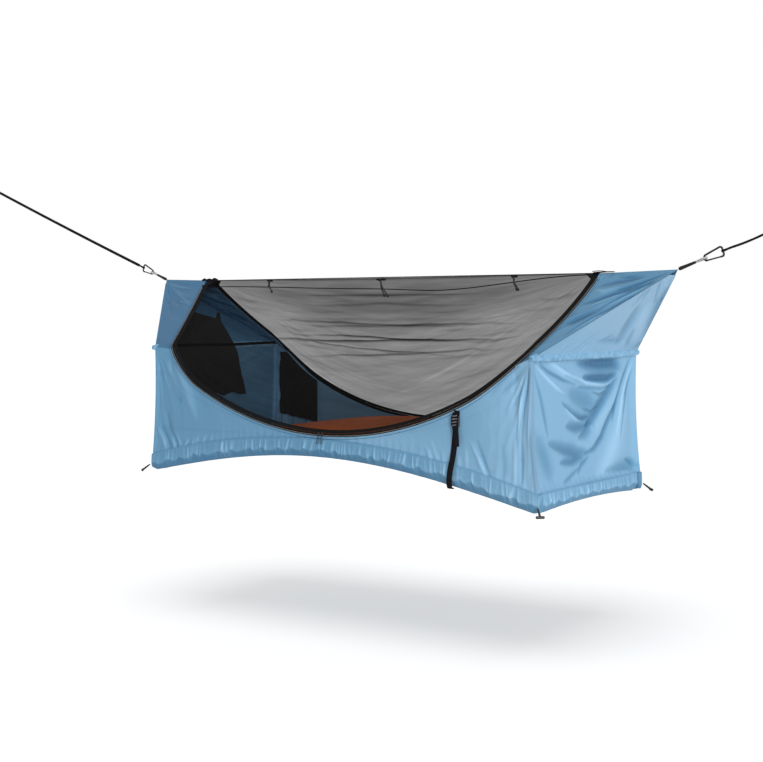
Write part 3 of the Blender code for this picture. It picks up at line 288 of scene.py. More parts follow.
def net_paint(name, opacity):
    """Fine dark insect net, denser along its creases and where it bunches."""
    p = Paint(name, Roughness=0.9, Specular_IOR_Level=0.0)
    flat = p.coords()
    haze = p.noise(p.coords(scale=(0.4, 4.0, 1.0)), 7.0, 4.0, 0.6, 0.3)
    thread = p.math("MAXIMUM", p.wave(flat, 250.0, "X"), p.wave(flat, 250.0, "Y"))
    dense = p.remap(haze, 0.30, 0.72, opacity - 0.05, opacity + 0.05)
    dense = p.plus(dense, p.times(p.attribute("tone"), bunched_share))
    p.colour(p.blend(thread, rgb(0.003, 0.003, 0.003), rgb(0.008, 0.008, 0.008)))
    p.put(p.math("MINIMUM", dense, 0.98), p.shader.inputs["Alpha"])
    p.normal(p.bump(p.plus(thread, haze), 0.0003, 0.5))
    return p


# Cloth colours: two of its own tones, then the deep colour, used for the ripstop grid lines and for painted
# shade, and the painted highlight colour
blue = rgb(0.150, 0.335, 0.515), rgb(0.172, 0.365, 0.545), rgb(0.036, 0.130, 0.262), rgb(0.380, 0.635, 0.870)
coated_cloth("wall_blue", *blue, 0.38)
coated_cloth("hood_blue", *blue, 0.38, 0.0010)
coated_cloth("hem_cloth", *blue, 0.40, 0.0016)
coated_cloth("floor_blue", rgb(0.045, 0.150, 0.280), rgb(0.060, 0.185, 0.335), *blue[2:], 0.48)
black = rgb(0.025, 0.025, 0.025), rgb(0.038, 0.038, 0.038), rgb(0.012, 0.012, 0.012), rgb(0.06, 0.06, 0.06)
coated_cloth("pocket_black", *black, 0.75)
orange = rgb(0.80, 0.185, 0.056), rgb(0.92, 0.235, 0.078), rgb(0.20, 0.03, 0.01), rgb(0.62, 0.2, 0.08)
coated_cloth("pad_orange", *orange, 0.55, 0.0020)
woven("webbing", rgb(0.004, 0.004, 0.005), rgb(0.014, 0.014, 0.016))
woven("binding_tape", rgb(0.005, 0.005, 0.0055), rgb(0.012, 0.012, 0.013), 1100.0, 900.0, 0.0002, 0.85)
woven("zip_tape", rgb(0.006, 0.006, 0.0065), rgb(0.014, 0.014, 0.015), 1300.0, 1100.0, 0.0002, 0.85)
braided("cord_black", rgb(0.005, 0.005, 0.006), rgb(0.026, 0.026, 0.028))
braided("cord_grey", rgb(0.40, 0.40, 0.39), rgb(0.60, 0.60, 0.585), 300.0)
metal("dark_metal", rgb(0.020, 0.021, 0.023), rgb(0.060, 0.062, 0.066), 0.40)
metal("bright_metal", rgb(0.42, 0.43, 0.45), rgb(0.72, 0.73, 0.75), 0.24)
metal("pole_metal", rgb(0.030, 0.065, 0.115), rgb(0.060, 0.115, 0.185), 0.34)
moulded("plastic", rgb(0.009, 0.009, 0.010), rgb(0.020, 0.020, 0.022))
# Light grey plastic for the painted highlights on the ladder lock's black bars
moulded("rib_highlight_plastic", rgb(0.20, 0.21, 0.23), rgb(0.34, 0.35, 0.37), 0.25)
net_paint("insect_net", 0.537)

coil = Paint("coil", Roughness=0.42)
turns = coil.wave(coil.coords(), 210.0, "X")
coil.colour(coil.blend(turns, rgb(0.10, 0.085, 0.070), rgb(0.24, 0.21, 0.18)))
coil.normal(coil.bump(turns, 0.0006, 0.9))

stitch = Paint("stitching", Roughness=0.7)
dashes = stitch.remap(stitch.wave(stitch.coords(), 50.0, "X"), 0.35, 0.55)
stitch.colour(stitch.blend(dashes, rgb(0.08, 0.21, 0.37), rgb(0.018, 0.055, 0.11)))
stitch.normal(stitch.bump(dashes, 0.0005, 0.8))

thread = Paint("black_thread", Roughness=0.75)
marks = thread.remap(thread.wave(thread.coords(), 55.0, "X"), 0.35, 0.55)
thread.colour(thread.blend(marks, rgb(0.008, 0.008, 0.009), rgb(0.05, 0.05, 0.052)))
thread.normal(thread.bump(marks, 0.0004, 0.8))


# Mesh helpers


def piece(name, points, faces, uvs, paint, body, turned=False, tones=None):
    """A mesh drawn in tent coordinates, put in the frame and ridden on a body."""
    if turned:
        points = [Vector((-p.x, -p.y, p.z)) for p in points]
    mesh = bpy.data.meshes.new(name)
    mesh.from_pydata([tuple(MIDDLE + p) for p in points], [], faces)
    layer = mesh.uv_layers.new(name="cut")
    for loop in mesh.loops:
        layer.data[loop.index].uv = uvs[loop.vertex_index]
    # The tone attribute holds painted shade and highlight on cloth, and how dense the mesh is on the net
    if tones:
        mesh.attributes.new("tone", "FLOAT", "POINT").data.foreach_set("value", tones)
    mesh.validate()
    mesh.shade_smooth()
    mesh.materials.append(materials[paint])
    obj = bpy.data.objects.new(name, mesh)
    bpy.context.scene.collection.objects.link(obj)
    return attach(obj, body)


def grid_parts(grid, base):
    """Points, faces and flat coordinates in metres of a grid of points."""
    points = [p for row in grid for p in row]
    wide = len(grid[0])
    faces = []
    for n in range(len(grid) - 1):
        for k in range(wide - 1):
            a = base + n * wide + k
            faces.append((a, a + 1, a + 1 + wide, a + wide))
    down = [0.0]
    for a, b in zip(grid, grid[1:]):
        down.append(down[-1] + (b[wide // 2] - a[wide // 2]).length)
    uvs = []
    for n, row in enumerate(grid):
        run = 0.0
        for k, p in enumerate(row):
            run += (p - row[k - 1]).length if k else 0.0
            uvs.append((run, down[n]))
    return points, faces, uvs


def weld(mesh, within, outward=False):
    """Joins points that lie together, and can turn all faces outwards."""
    bm = bmesh.new()
    bm.from_mesh(mesh)
    bmesh.ops.remove_doubles(bm, verts=bm.verts, dist=within)
    if outward:
        bmesh.ops.recalc_face_normals(bm, faces=bm.faces)
    bm.to_mesh(mesh)
    bm.free()


def sheet_piece(name, grids, paint, body, turned=False, tones=None):
    """One sheet made of one or more grids that meet at shared points."""
    points, faces, uvs = [], [], []
    for grid in grids:
        p, f, u = grid_parts(grid, len(points))
        points += p
        faces += f
        uvs += u
    tones = [value for grid in tones for row in grid for value in row] if tones else None
    obj = piece(name, points, faces, uvs, paint, body, turned, tones)
    if len(grids) > 1:
        weld(obj.data, 0.0002)
    return obj


def swept(name, rings, paint, body, turned=False, tones=None):
    """A solid skinned over equal rings, capped at both ends."""
    wide = len(rings[0])
    points, faces, uvs = [], [], []
    middles = [sum(r, Vector((0, 0, 0))) / wide for r in rings]
    run = 0.0
    for n, r in enumerate(rings):
        run += (middles[n] - middles[n - 1]).length if n else 0.0
        around = 0.0
        for k in range(wide + 1):
            p = r[k % wide]
            around += (p - r[k - 1]).length if k else 0.0
            points.append(p)
            uvs.append((run, around))
    for n in range(len(rings) - 1):
        for k in range(wide):
            a = n * (wide + 1) + k
            faces.append((a, a + 1, a + wide + 2, a + wide + 1))
    faces.append(tuple(reversed(range(wide))))
    start = (len(rings) - 1) * (wide + 1)
    faces.append(tuple(range(start, start + wide)))
    tones = [row[k % wide] for row in tones for k in range(wide + 1)] if tones else None
    obj = piece(name, points, faces, uvs, paint, body, turned, tones)
    weld(obj.data, 0.000002, outward=True)
    obj.data.set_sharp_from_angle(angle=math.radians(50))
    return obj


def ring(centre, a, b, ra, rb=None, sides=16):
    rb = ra if rb is None else rb
    steps = [2 * math.pi * k / sides for k in range(sides)]
    return [centre + a * (ra * math.cos(t)) + b * (rb * math.sin(t)) for t in steps]


def tangents(points):
    """The way of a line at each of its points."""
    ends = [points[0], *points, points[-1]]
    return [(after - before).normalized() for before, after in zip(ends, ends[2:])]


def smooth_path(points, each=4, closed=False):
    """A Catmull-Rom curve through points, with some steps between each two."""
    count = len(points)
    made = []
    spans = count if closed else count - 1
    for n in range(spans):
        p1, p2 = points[n], points[(n + 1) % count]
        p0 = points[n - 1] if n or closed else p1
        p3 = points[(n + 2) % count] if n + 2 < count or closed else p2
        for k in range(each):
            t = k / each
            made.append(0.5 * ((2 * p1) + (p2 - p0) * t + (2 * p0 - 5 * p1 + 4 * p2 - p3) * t * t
                               + (3 * p1 - p0 - 3 * p2 + p3) * t**3))
    if not closed:
        made.append(points[-1].copy())
    return made


def tube(points, radius, side, sides=12, bulge=None):
    """Round rings along a path."""
    rings = []
    for n, (point, way) in enumerate(zip(points, tangents(points))):
        b = way.cross(side).normalized()
        a = b.cross(way).normalized()
        r = radius * (bulge(n / (len(points) - 1)) if bulge else 1)
        rings.append(ring(point, a, b, r, sides=sides))
    return rings


def band(points, across, half_wide, half_thick, puff=0.25):
    """Flat rings with rounded edges along a path, as of webbing."""
    outline = []
    for k in range(5):
        t = -math.pi / 2 + math.pi * k / 4
        outline.append((half_wide - half_thick * (1 - math.cos(t)), half_thick * math.sin(t)))
    for k in range(5):
        t = math.pi / 2 + math.pi * k / 4
        outline.append((-half_wide + half_thick * (1 + math.cos(t)), half_thick * math.sin(t)))
    outline.insert(5, (0, half_thick * (1 + puff)))
    outline.append((0, -half_thick * (1 + puff)))
    rings = []
    for point, way in zip(points, tangents(points)):
        thick = way.cross(across).normalized()
        wide = thick.cross(way).normalized()
        rings.append([point + wide * a + thick * b for a, b in outline])
    return rings


smooth_levels = 2


def softened(node, name, paint, body, slot):
    """A smooth copy of a node's own mesh, for small soft pieces."""
    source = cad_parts[node]
    bm = bmesh.new()
    bm.from_mesh(source.data)
    bmesh.ops.remove_doubles(bm, verts=bm.verts, dist=0.00001)
    bmesh.ops.join_triangles(bm, faces=bm.faces, angle_face_threshold=0.6, angle_shape_threshold=1.2)
    mesh = bpy.data.meshes.new(name)
    bm.to_mesh(mesh)
    bm.free()
    mesh.shade_smooth()
    mesh.materials.append(materials[paint])
    obj = bpy.data.objects.new(name, mesh)
    bpy.context.scene.collection.objects.link(obj)
    round_it = obj.modifiers.new("Round", "SUBSURF")
    round_it.levels = smooth_levels
    round_it.render_levels = smooth_levels
    declare(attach(obj, body), slot, node)


def declare(obj, slot, *nodes):
    """Hides the imported nodes that a piece stands for; its slot argument is not used."""
    if nodes:
        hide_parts(*nodes)
    return obj


def wobble(x, y=0.0, z=0.0):
    return noise.noise(Vector((x, y, z)))


def bell(x, middle, rise, fall):
    """A bump with its own width on each side."""
    return math.exp(-(((x - middle) / (rise if x < middle else fall)) ** 2))


def step(x, low, high):
    t = max(0.0, min(1.0, (x - low) / (high - low)))
    return t * t * (3 - 2 * t)


def ridge(phase, sharp=1.6):
    """Soft valleys with sharper crests, from 0 to 1."""
    return (1 - abs(math.sin(phase / 2))) ** sharp


# Folds placed one by one: each was followed in an enlarged view of the photograph

photo_width, photo_height = 763, 762
# Each view's upper left corner in the photograph, and how much it enlarges
end_view, corner_view, hem_view = (525, 340, 8.459), (430, 300, 9.2235), (340, 440, 7.649)
left_hem_view, left_view, hood_view = (145, 425, 7.84), (165, 270, 8.711), (565, 255, 11.615)
view_step = 10
camera_turned = camera.rotation_euler.to_matrix()
film = sensor_width / lens / photo_width
along_x, along_y, along_z = Vector((1, 0, 0)), Vector((0, 1, 0)), Vector((0, 0, 1))
# The taut plane of the bulging end wall, the slant of a hood's end face, and the stretch of its front face
end_plane, hood_slant, wing_stretch = 1.003, 0.484, 1.26
hood_rise, hood_run = 0.657, 0.754


def wing_outward(side):
    """The way a hood's front face looks."""
    corner = Vector((side * half_waist, -half_width, waist_height))
    tip = Vector((side * half_tip, 0, tip_height))
    normal = (tip - corner).cross(ridge_end[side] - corner).normalized()
    return normal if normal.z > 0 else -normal


# A point of each surface, the way it looks, its two flat directions and the height they start from
waist_end = Vector((half_waist, 0, waist_height))
surfaces = {
    "end": (along_x * end_plane, along_x, along_y, along_z, 0),
    "wall": (along_y * -half_width, along_y, along_x, along_z, 0),
    "hood": (waist_end, Vector((hood_rise, 0, -hood_run)), along_y, along_z / hood_rise, waist_height),
}
for side, hand in hands.items():
    corner = Vector((side * half_waist, -half_width, waist_height))
    surfaces[f"{hand}_wing"] = (corner, wing_outward(side), along_x, along_y * wing_stretch, 0)


def in_photo(point):
    """The pixel of the photograph where a point of the tent shows."""
    x, y, z = camera_turned.transposed() @ (point - camera_place)
    return photo_width / 2 - x / z / film, photo_height / 2 + y / z / film


def on_surface(surface, px, py):
    """Where a pixel of the photograph lies on a flat surface, in millimetres across and up it."""
    start, normal, across, up, base = surfaces[surface]
    way = camera_turned @ Vector(((px - photo_width / 2) * film, (photo_height / 2 - py) * film, -1))
    place = camera_place + way * ((start - camera_place).dot(normal) / way.dot(normal))
    return round(1000 * place.dot(across)), round(1000 * (place - along_z * base).dot(up))


def followed(surface, view, rows):
    """Rows of folds in pixels of an enlarged view, in millimetres on a surface."""
    left, top, enlarged = view

    def lay(x, y):
        return on_surface(surface, left + x / enlarged, top + y / enlarged)

    found = []
    for size, tone, first, second, *flat in rows:
        seen = list(zip(flat[0::2], flat[1::2]))
        line = [lay(*at) for at in seen]
        x, y = seen[len(seen) // 2]
        spans = [math.dist(lay(x, y), lay(x + dx, y + dy)) for dx, dy in ((view_step, 0), (0, view_step))]
        scale = sum(spans) / 2 / view_step
        found.append((size, tone, round(first * scale), round(second * scale), *sum(line, ())))
    return found


def placed(rows):
    """Folds as lines of points in millimetres, each with the box that it can reach."""
    found = []
    for size, tone, first, second, *flat in rows:
        reach = fold_reach * max(first, second)
        across, up = flat[0::2], flat[1::2]
        box = min(across) - reach, max(across) + reach, min(up) - reach, max(up) + reach
        found.append((size / 1000, tone / 10, first, second, list(zip(across, up)), box))
    return found


fold_reach, fold_taper, fold_end = 2.6, 0.6, 0.30


def creases(u, v, folds):
    """How deep the placed folds lie at a place in metres, and the tone they give there: painted shade where
    positive and painted highlight where negative on cloth, extra density on the net.
    """
    u, v = u * 1000, v * 1000
    depth = tone = 0.0
    for size, dark, first, second, line, (left, right, low, high) in folds:
        if not (left < u < right and low < v < high):
            continue
        best, side, run = math.inf, 0.0, 0.0
        for n, ((a, b), (c, d)) in enumerate(zip(line, line[1:])):
            du, dv = c - a, d - b
            t = max(0.0, min(1.0, ((u - a) * du + (v - b) * dv) / (du * du + dv * dv)))
            ou, ov = u - a - du * t, v - b - dv * t
            far = math.hypot(ou, ov)
            if far < best:
                best, side, run = far, du * ov - dv * ou, (n + t) / (len(line) - 1)
        taper, small = max(0.0, math.sin(math.pi * run)) ** fold_taper, min(first, second) / 2
        wide = small + ((first if side > 0 else second) - small) * taper
        shape = math.exp(-((best / wide) ** 2)) * (fold_end + (1 - fold_end) * taper)
        depth += size * shape
        tone += dark * shape
    return depth, tone


# Each row: depth in millimetres, painted shade in tenths (negative for a painted highlight), width on each
# side, then the points of the fold.
# Rows that were followed in a view are in its pixels, and the others in millimetres.

end_marks = placed([
    (2, 7, 5, 9, 372, 512, 322, 440, 262, 350, 214, 262),
    (2, 6, 4, 8, 385, 470, 342, 372, 300, 276, 268, 176),
    (-2, -5, 5, 8, 380, 492, 336, 410, 284, 310, 240, 215),
    (2, 6, 4, 9, -352, 520, -262, 478, -168, 446, -60, 420),
    (-2, -5, 4, 8, -368, 514, -286, 462, -214, 420, -150, 392),
    (2, 4, 6, 12, -360, 480, -312, 380, -286, 300, -270, 240), (2, 5, 4, 7, 60, 388, 120, 374, 186, 384),
    (2, 5, 4, 7, -10, 330, 56, 312, 128, 330),
] + followed("end", end_view, [
    (9, 11, 55, 45, 500, 175, 640, 190, 790, 195, 850, 225),
    (8, 11, 26, 20, 550, 322, 650, 325, 760, 325, 830, 292),
    (-6, -5, 16, 22, 200, 140, 330, 240, 440, 318, 560, 366, 720, 388, 862, 297),
    (3, 5, 14, 12, 380, 300, 480, 345, 560, 378), (3, 5, 12, 12, 510, 398, 680, 408, 790, 388),
    (6, 4, 70, 60, 430, 450, 560, 520, 640, 530), (5, 6, 18, 12, 370, 530, 450, 618, 530, 670, 600, 655),
    (-4, -4, 12, 18, 390, 575, 480, 675, 560, 700, 640, 655),
    (9, 7, 51, 25, 400, 735, 480, 750, 590, 720, 560, 780, 500, 830),
    (9, 7, 18, 45, 850, 305, 740, 490, 650, 640, 585, 730),
    (-1, -2, 50, 30, 880, 330, 790, 510, 690, 680, 570, 830, 480, 880),
    (6, 7, 12, 20, 862, 420, 810, 560, 745, 700, 690, 825, 620, 925, 550, 962),
    (8, 6, 40, 28, 250, 880, 380, 940, 470, 960, 560, 955), (5, 6, 26, 20, 330, 1045, 430, 1035, 520, 990),
    (-4, -3, 90, 60, 890, 500, 810, 800, 720, 1000, 620, 1150),
    (4, 5, 12, 14, 570, 985, 500, 1060, 465, 1130), (3, 4, 12, 12, 470, 1090, 400, 1160, 330, 1225),
    (4, 5, 22, 10, 860, 1005, 930, 1050, 1000, 1090), (4, 4, 40, 14, 690, 1112, 850, 1085, 1000, 1112),
    (3, 3, 60, 60, 150, 820, 200, 1000, 250, 1180), (3, 4, 20, 20, 430, 1235, 600, 1200, 800, 1150),
]))
wall_marks = placed(followed("wall", corner_view, [
    (5, 6, 14, 14, 915, 590, 895, 760, 855, 1000, 832, 1290),
    (-4, -6, 22, 22, 942, 590, 925, 800, 897, 1290), (4, 4, 12, 12, 995, 620, 1008, 850, 1020, 1290),
    (-3, -4, 16, 16, 970, 600, 975, 800, 978, 1290), (-4, -5, 12, 12, 868, 700, 830, 900, 795, 1290),
    (4, 4, 22, 22, 890, 610, 760, 740, 640, 860), (-3, -4, 10, 10, 850, 690, 780, 850, 705, 1030),
    (3, 4, 12, 12, 872, 705, 805, 870, 745, 1000), (3, 3, 30, 30, 760, 660, 640, 770, 560, 880),
]) + followed("wall", hem_view, [
    (-5, -6, 16, 16, 1000, 20, 1080, 200, 1150, 365), (5, 5, 14, 14, 1045, 10, 1115, 220, 1185, 365),
    (-3, -4, 12, 12, 650, 40, 690, 140, 705, 170), (-3, -4, 12, 12, 700, 10, 725, 110, 755, 190),
    (-3, -4, 10, 10, 775, 60, 785, 150, 795, 200), (-3, -4, 14, 14, 960, 70, 968, 230),
    (-3, -4, 12, 12, 905, 130, 912, 240), (3, 3, 18, 18, 1235, 40, 1250, 300),
    (-3, -4, 14, 14, 1330, 0, 1332, 350), (4, 5, 14, 14, 1378, 0, 1385, 340),
]) + followed("wall", left_hem_view, [
    (-5, -6, 18, 14, 95, 10, 140, 110, 170, 215), (5, 5, 14, 14, 130, 0, 165, 100, 205, 205),
    (-4, -5, 12, 12, 190, 60, 225, 150, 245, 205), (-3, -4, 10, 10, 235, 50, 265, 130, 290, 180),
    (4, 4, 12, 12, 215, 60, 245, 150, 262, 195), (-3, -5, 8, 8, 345, 95, 315, 150, 293, 190),
    (-3, -5, 8, 8, 385, 100, 362, 165), (-3, -5, 8, 8, 415, 85, 385, 160),
    (-3, -5, 8, 8, 478, 75, 440, 155), (-3, -4, 8, 8, 530, 70, 510, 140),
    (-3, -4, 8, 8, 590, 100, 625, 185),
]) + followed("wall", left_view, [
    (-4, -4, 30, 30, 10, 790, 60, 960, 110, 1150), (4, 4, 24, 24, 30, 900, 105, 1120, 140, 1170),
    (4, 4, 22, 22, 5, 1230, 45, 1400, 65, 1470), (-4, -4, 40, 40, 90, 830, 200, 1060, 260, 1300),
]))
right_wing_marks = placed(followed("right_wing", hood_view, [
    (9, 10, 12, 16, 1160, 208, 1010, 262, 880, 305, 760, 345, 600, 388),
    (7, 7, 26, 34, 1000, 300, 760, 375, 560, 440, 380, 505, 200, 560),
    (7, 7, 16, 26, 1060, 268, 820, 392, 700, 452, 540, 535, 380, 620),
    (6, 6, 40, 40, 420, 610, 230, 690, 80, 760, 0, 790),
    (7, 8, 14, 14, 900, 400, 700, 500, 500, 620, 300, 722, 0, 905),
    (-5, -5, 9, 9, 960, 335, 760, 440, 560, 540, 300, 665),
    (-4, -4, 8, 8, 760, 475, 560, 590, 300, 745, 60, 880), (-5, -4, 14, 14, 700, 420, 520, 490, 300, 575),
    (6, 7, 20, 14, 460, 265, 560, 222, 700, 212), (5, 6, 12, 12, 620, 246, 740, 238, 835, 230),
    (6, 5, 26, 26, 385, 350, 560, 305, 760, 268, 900, 245), (-4, -5, 10, 10, 352, 262, 400, 222, 445, 200),
    (-4, -5, 9, 9, 395, 290, 440, 240, 475, 208), (-4, -4, 9, 9, 455, 280, 500, 232, 560, 205),
    (-4, -3, 26, 26, 330, 400, 450, 420, 620, 360),
]))
left_wing_marks = placed(followed("left_wing", left_view, [
    (-5, -7, 8, 8, 18, 118, 120, 145, 215, 163), (-4, -5, 9, 9, 30, 135, 140, 205, 215, 250),
    (-4, -6, 8, 8, 90, 190, 180, 265, 245, 300), (-4, -5, 8, 8, 120, 270, 190, 290, 240, 330),
    (5, 5, 14, 14, 10, 170, 60, 250, 110, 300), (5, 4, 20, 20, 5, 240, 40, 330, 70, 420),
    (4, 4, 30, 30, 100, 330, 130, 420, 120, 500),
]))
hood_marks = placed(followed("hood", hood_view, [
    (6, 6, 34, 24, 850, 600, 760, 760, 680, 900, 610, 1050), (4, 5, 14, 12, 795, 860, 735, 1000, 705, 1075),
    (7, 6, 30, 60, 1240, 340, 1180, 480, 1060, 720, 930, 960),
    (3, 4, 9, 9, 1112, 275, 1085, 400, 1040, 560), (3, 4, 8, 8, 1000, 372, 900, 530),
    (3, 4, 8, 8, 955, 395, 780, 620), (3, 4, 7, 7, 400, 895, 300, 960, 222, 1020),
    (3, 4, 10, 10, 560, 925, 430, 1010), (5, 4, 26, 26, 400, 1010, 540, 1020, 620, 1040),
    (-4, -3, 50, 50, 950, 600, 880, 800, 820, 1000), (4, 5, 26, 26, 880, 1000, 830, 1075),
]))

# The line of pull, the straps and what they hold


def along(side, distance):
    out = Vector((side * math.cos(hang_angle), 0, math.sin(hang_angle)))
    return Vector((side * half_tip, 0, tip_height)) + out * distance


def rounded_corner(before, corner, after, radius, steps):
    """An arc that rounds a corner."""
    a = (before - corner).normalized()
    b = (after - corner).normalized()
    half = math.acos(max(-1, min(1, a.dot(b)))) / 2
    start = corner + a * radius / math.tan(half)
    end = corner + b * radius / math.tan(half)
    centre = corner + (a + b).normalized() * radius / math.sin(half)
    ways = [(start - centre).lerp(end - centre, k / steps).normalized() for k in range(steps + 1)]
    return [centre + way * radius for way in ways]


strap_sag, strap_leans, loop_share = 0.003, {-1: 24, 1: 48}, 0.55
loop_reach, carabiner_ends, carabiner_corner = 0.034, (0.026, 0.044), 0.0080
gate_nose, gate_hinge, gate_radius = 0.19, 0.88, 0.0028
cord_radius, cord_start = 0.0042, 0.0723


def add_suspension(hand, side, strap_body):
    """One end's cord cover, cord loop, carabiner, strap loop, strap and eye, from the hood's tip outwards."""
    up = Vector((-side * math.sin(hang_angle), 0, math.cos(hang_angle)))
    sideways = Vector((0, 1, 0))

    def at(distance, across=0.0, above=0.0):
        return along(side, distance) + sideways * across + up * above

    # the strap and its far eye
    span = strap_spans[side]
    count = max(12, round(span / 0.02))
    line = []
    for k in range(count + 1):
        share = k / count
        line.append(at(strap_start + span * share) - along_z * (strap_sag * 4 * share * (1 - share)))
    lean = math.radians(strap_leans[side])
    edge_on = up * math.cos(lean) + sideways * math.sin(lean)
    rings = band(line, edge_on, web_width / 2, web_thickness / 2)
    strap = swept(f"{hand}_strap_webbing", rings, "webbing", strap_body)
    declare(strap, "black_webbing", f"{hand}_strap")
    half = web_thickness / 2
    close = half + seam_gap
    start = strap_start + span + seam_gap
    end, wide, corner = start + eye_length - half, eye_width / 2 - half, eye_inner + half
    middle = start + eye_length / 2
    path = [at(start, -close), at(start + eye_length / 6, -close), at(middle, -wide)]
    path += rounded_corner(at(middle, -wide), at(end, -wide), at(end, wide), corner, 8)
    path += rounded_corner(at(end, -wide), at(end, wide), at(middle, wide), corner, 8)
    path += [at(middle, wide), at(start + eye_length / 6, close), at(start, close)]
    rings = band(path, up, web_width / 2, half * 0.98, puff=0.0)
    eye = swept(f"{hand}_eye_webbing", rings, "webbing", strap_body)
    declare(eye, "black_webbing", f"{hand}_anchor_eye")
    # the sewn loop round the carabiner's wide end
    bend = carabiner_rod + seam_gap + half
    path = [at(far_rod + loop_reach * (1 - k / 6), -close) for k in range(4)]
    turns = [math.pi * k / 14 for k in range(15)]
    path += [at(far_rod - bend * math.sin(t), -bend * math.cos(t)) for t in turns]
    path += [at(far_rod + loop_reach * (0.5 + k / 6), close) for k in range(4)]
    rings = band(path, up, loop_share * web_width / 2, half, puff=0.0)
    loop = swept(f"{hand}_loop_webbing", rings, "webbing", strap_body)
    declare(loop, "black_webbing", f"{hand}_strap_loop")
    # the carabiner, drawn round and smooth
    narrow, broad = (width / 2 - carabiner_rod for width in carabiner_ends)
    low_far, high_far = at(far_rod, 0, -broad), at(far_rod, 0, broad)
    high_near, low_near = at(near_rod, 0, narrow), at(near_rod, 0, -narrow)
    nose, hinge = low_far.lerp(low_near, gate_nose), low_far.lerp(low_near, gate_hinge)
    path = [nose]
    for before, at_corner, after in ((low_near, low_far, high_far), (low_far, high_far, high_near),
                                     (high_far, high_near, low_near), (high_near, low_near, low_far)):
        path += rounded_corner(before, at_corner, after, carabiner_corner, 10)
    path.append(hinge)
    rings = tube(path, carabiner_rod, sideways, sides=18)
    body = swept(f"{hand}_carabiner_body", rings, "dark_metal", "tent")
    declare(body, "dark_metal", f"{hand}_carabiner")
    way = (nose - hinge).normalized()
    pivot, tip = hinge + way * (seam_gap + gate_radius), nose - way * seam_gap
    across = way.cross(sideways).normalized()
    # how far along the gate, and its radius there: a round hinge end, a groove, and a grooved nose
    stations = [(-gate_radius, 0.0004), (-0.0024, 0.0016), (-0.0014, 0.0025), (0.0, gate_radius)]
    stations += [(0.004, gate_radius), (0.0044, 0.0024), (0.0056, 0.0024), (0.006, gate_radius)]
    reach = (tip - pivot).length
    stations += [(reach - 0.008, gate_radius), (reach - 0.0076, 0.0025), (reach - 0.006, 0.0025)]
    stations += [(reach - 0.0056, gate_radius), (reach - 0.0006, gate_radius), (reach, 0.0024)]
    rings = [ring(pivot + way * s, sideways, across, r, sides=18) for s, r in stations]
    gate = swept(f"{hand}_carabiner_gate", rings, "dark_metal", f"{hand}_carabiner_gate")
    declare(gate, "bright_metal", f"{hand}_gate")
    # the pale cord through the carabiner's narrow end
    wide = carabiner_rod + seam_gap + cord_radius
    ends = (cord_start, 0.0034), (cord_start + 0.0075, 0.0036), (near_rod - 0.010, wide)
    path = [at(s, -a) for s, a in ends]
    turns = [math.pi * k / 12 for k in range(13)]
    path += [at(near_rod + wide * math.sin(t), -wide * math.cos(t)) for t in turns]
    path += [at(s, a) for s, a in reversed(ends)]
    cord = swept(f"{hand}_loop_cord", tube(path, cord_radius, up, sides=14), "cord_grey", "tent")
    declare(cord, "grey_cord", f"{hand}_cord_loop")
    # the sleeve of black cord cover from the tip: how far along it, and its radius there
    stations = [(0.0045, 0.0056), (0.007, 0.0063), (0.010, 0.0070), (0.020, 0.0068), (0.036, 0.0061)]
    stations += [(0.052, 0.0056), (0.060, 0.0052), (0.066, 0.0050), (0.0718, 0.0047)]
    finer = []
    for (s0, r0), (s1, r1) in zip(stations, stations[1:]):
        finer += [(s0 + (s1 - s0) * t / 4, r0 + (r1 - r0) * t / 4) for t in range(4)]
    rings = []
    for s, r in finer + stations[-1:]:
        lump = 1 + 0.05 * wobble(s * 260, 3.0 * side)
        rings.append(ring(at(s - 0.0043), sideways, up, r * lump, sides=16))
    sleeve = swept(f"{hand}_sleeve_cover", rings, "cord_black", "tent")
    declare(sleeve, "black_webbing", f"{hand}_cord_sleeve")


add_suspension("left", -1, "tent")
add_suspension("right", 1, "right_hang_strap")

# The scooped opening

n_arc, n_knee, n_up = 64, 20, 30


def zip_top(side):
    return ridge_end[side] + Vector((side * top_reaches[side], 0, 0))


def upper_edge(side, share):
    knee_x, bow = knees[side][:2]
    knee = Vector((side * knee_x, -half_width, knee_height))
    return knee.lerp(zip_top(side), share) + Vector((side * bow * 4 * share * (1 - share), 0, 0))


def arc_point(angle):
    height = scoop_centre - scoop_radius * math.cos(angle)
    return Vector((scoop_radius * math.sin(angle), -half_width, height))


def half_scoop(side):
    handle, knee_handle, start_share, end_share = knees[side][2:]
    arc_angle = math.asin(scoop_half / scoop_radius)
    start = arc_point(side * arc_angle)
    start_way = Vector((side * math.cos(arc_angle), 0, math.sin(arc_angle)))
    top = upper_edge(side, start_share)
    top_way = (upper_edge(side, start_share + upper_ahead) - top).normalized()
    first, second = start + start_way * handle, top - top_way * knee_handle
    points = []
    for k in range(n_knee):
        t = (k + 1) / n_knee
        r = 1 - t
        points.append(start * r**3 + first * 3 * r * r * t + second * 3 * r * t * t + top * t**3)
    for k in range(n_up):
        points.append(upper_edge(side, start_share + (end_share - start_share) * (k + 1) / n_up))
    return points


def scoop_line():
    arc_angle = math.asin(scoop_half / scoop_radius)
    arc = [arc_point(arc_angle * (2 * k / n_arc - 1)) for k in range(n_arc + 1)]
    return list(reversed(half_scoop(-1))) + arc + half_scoop(1)


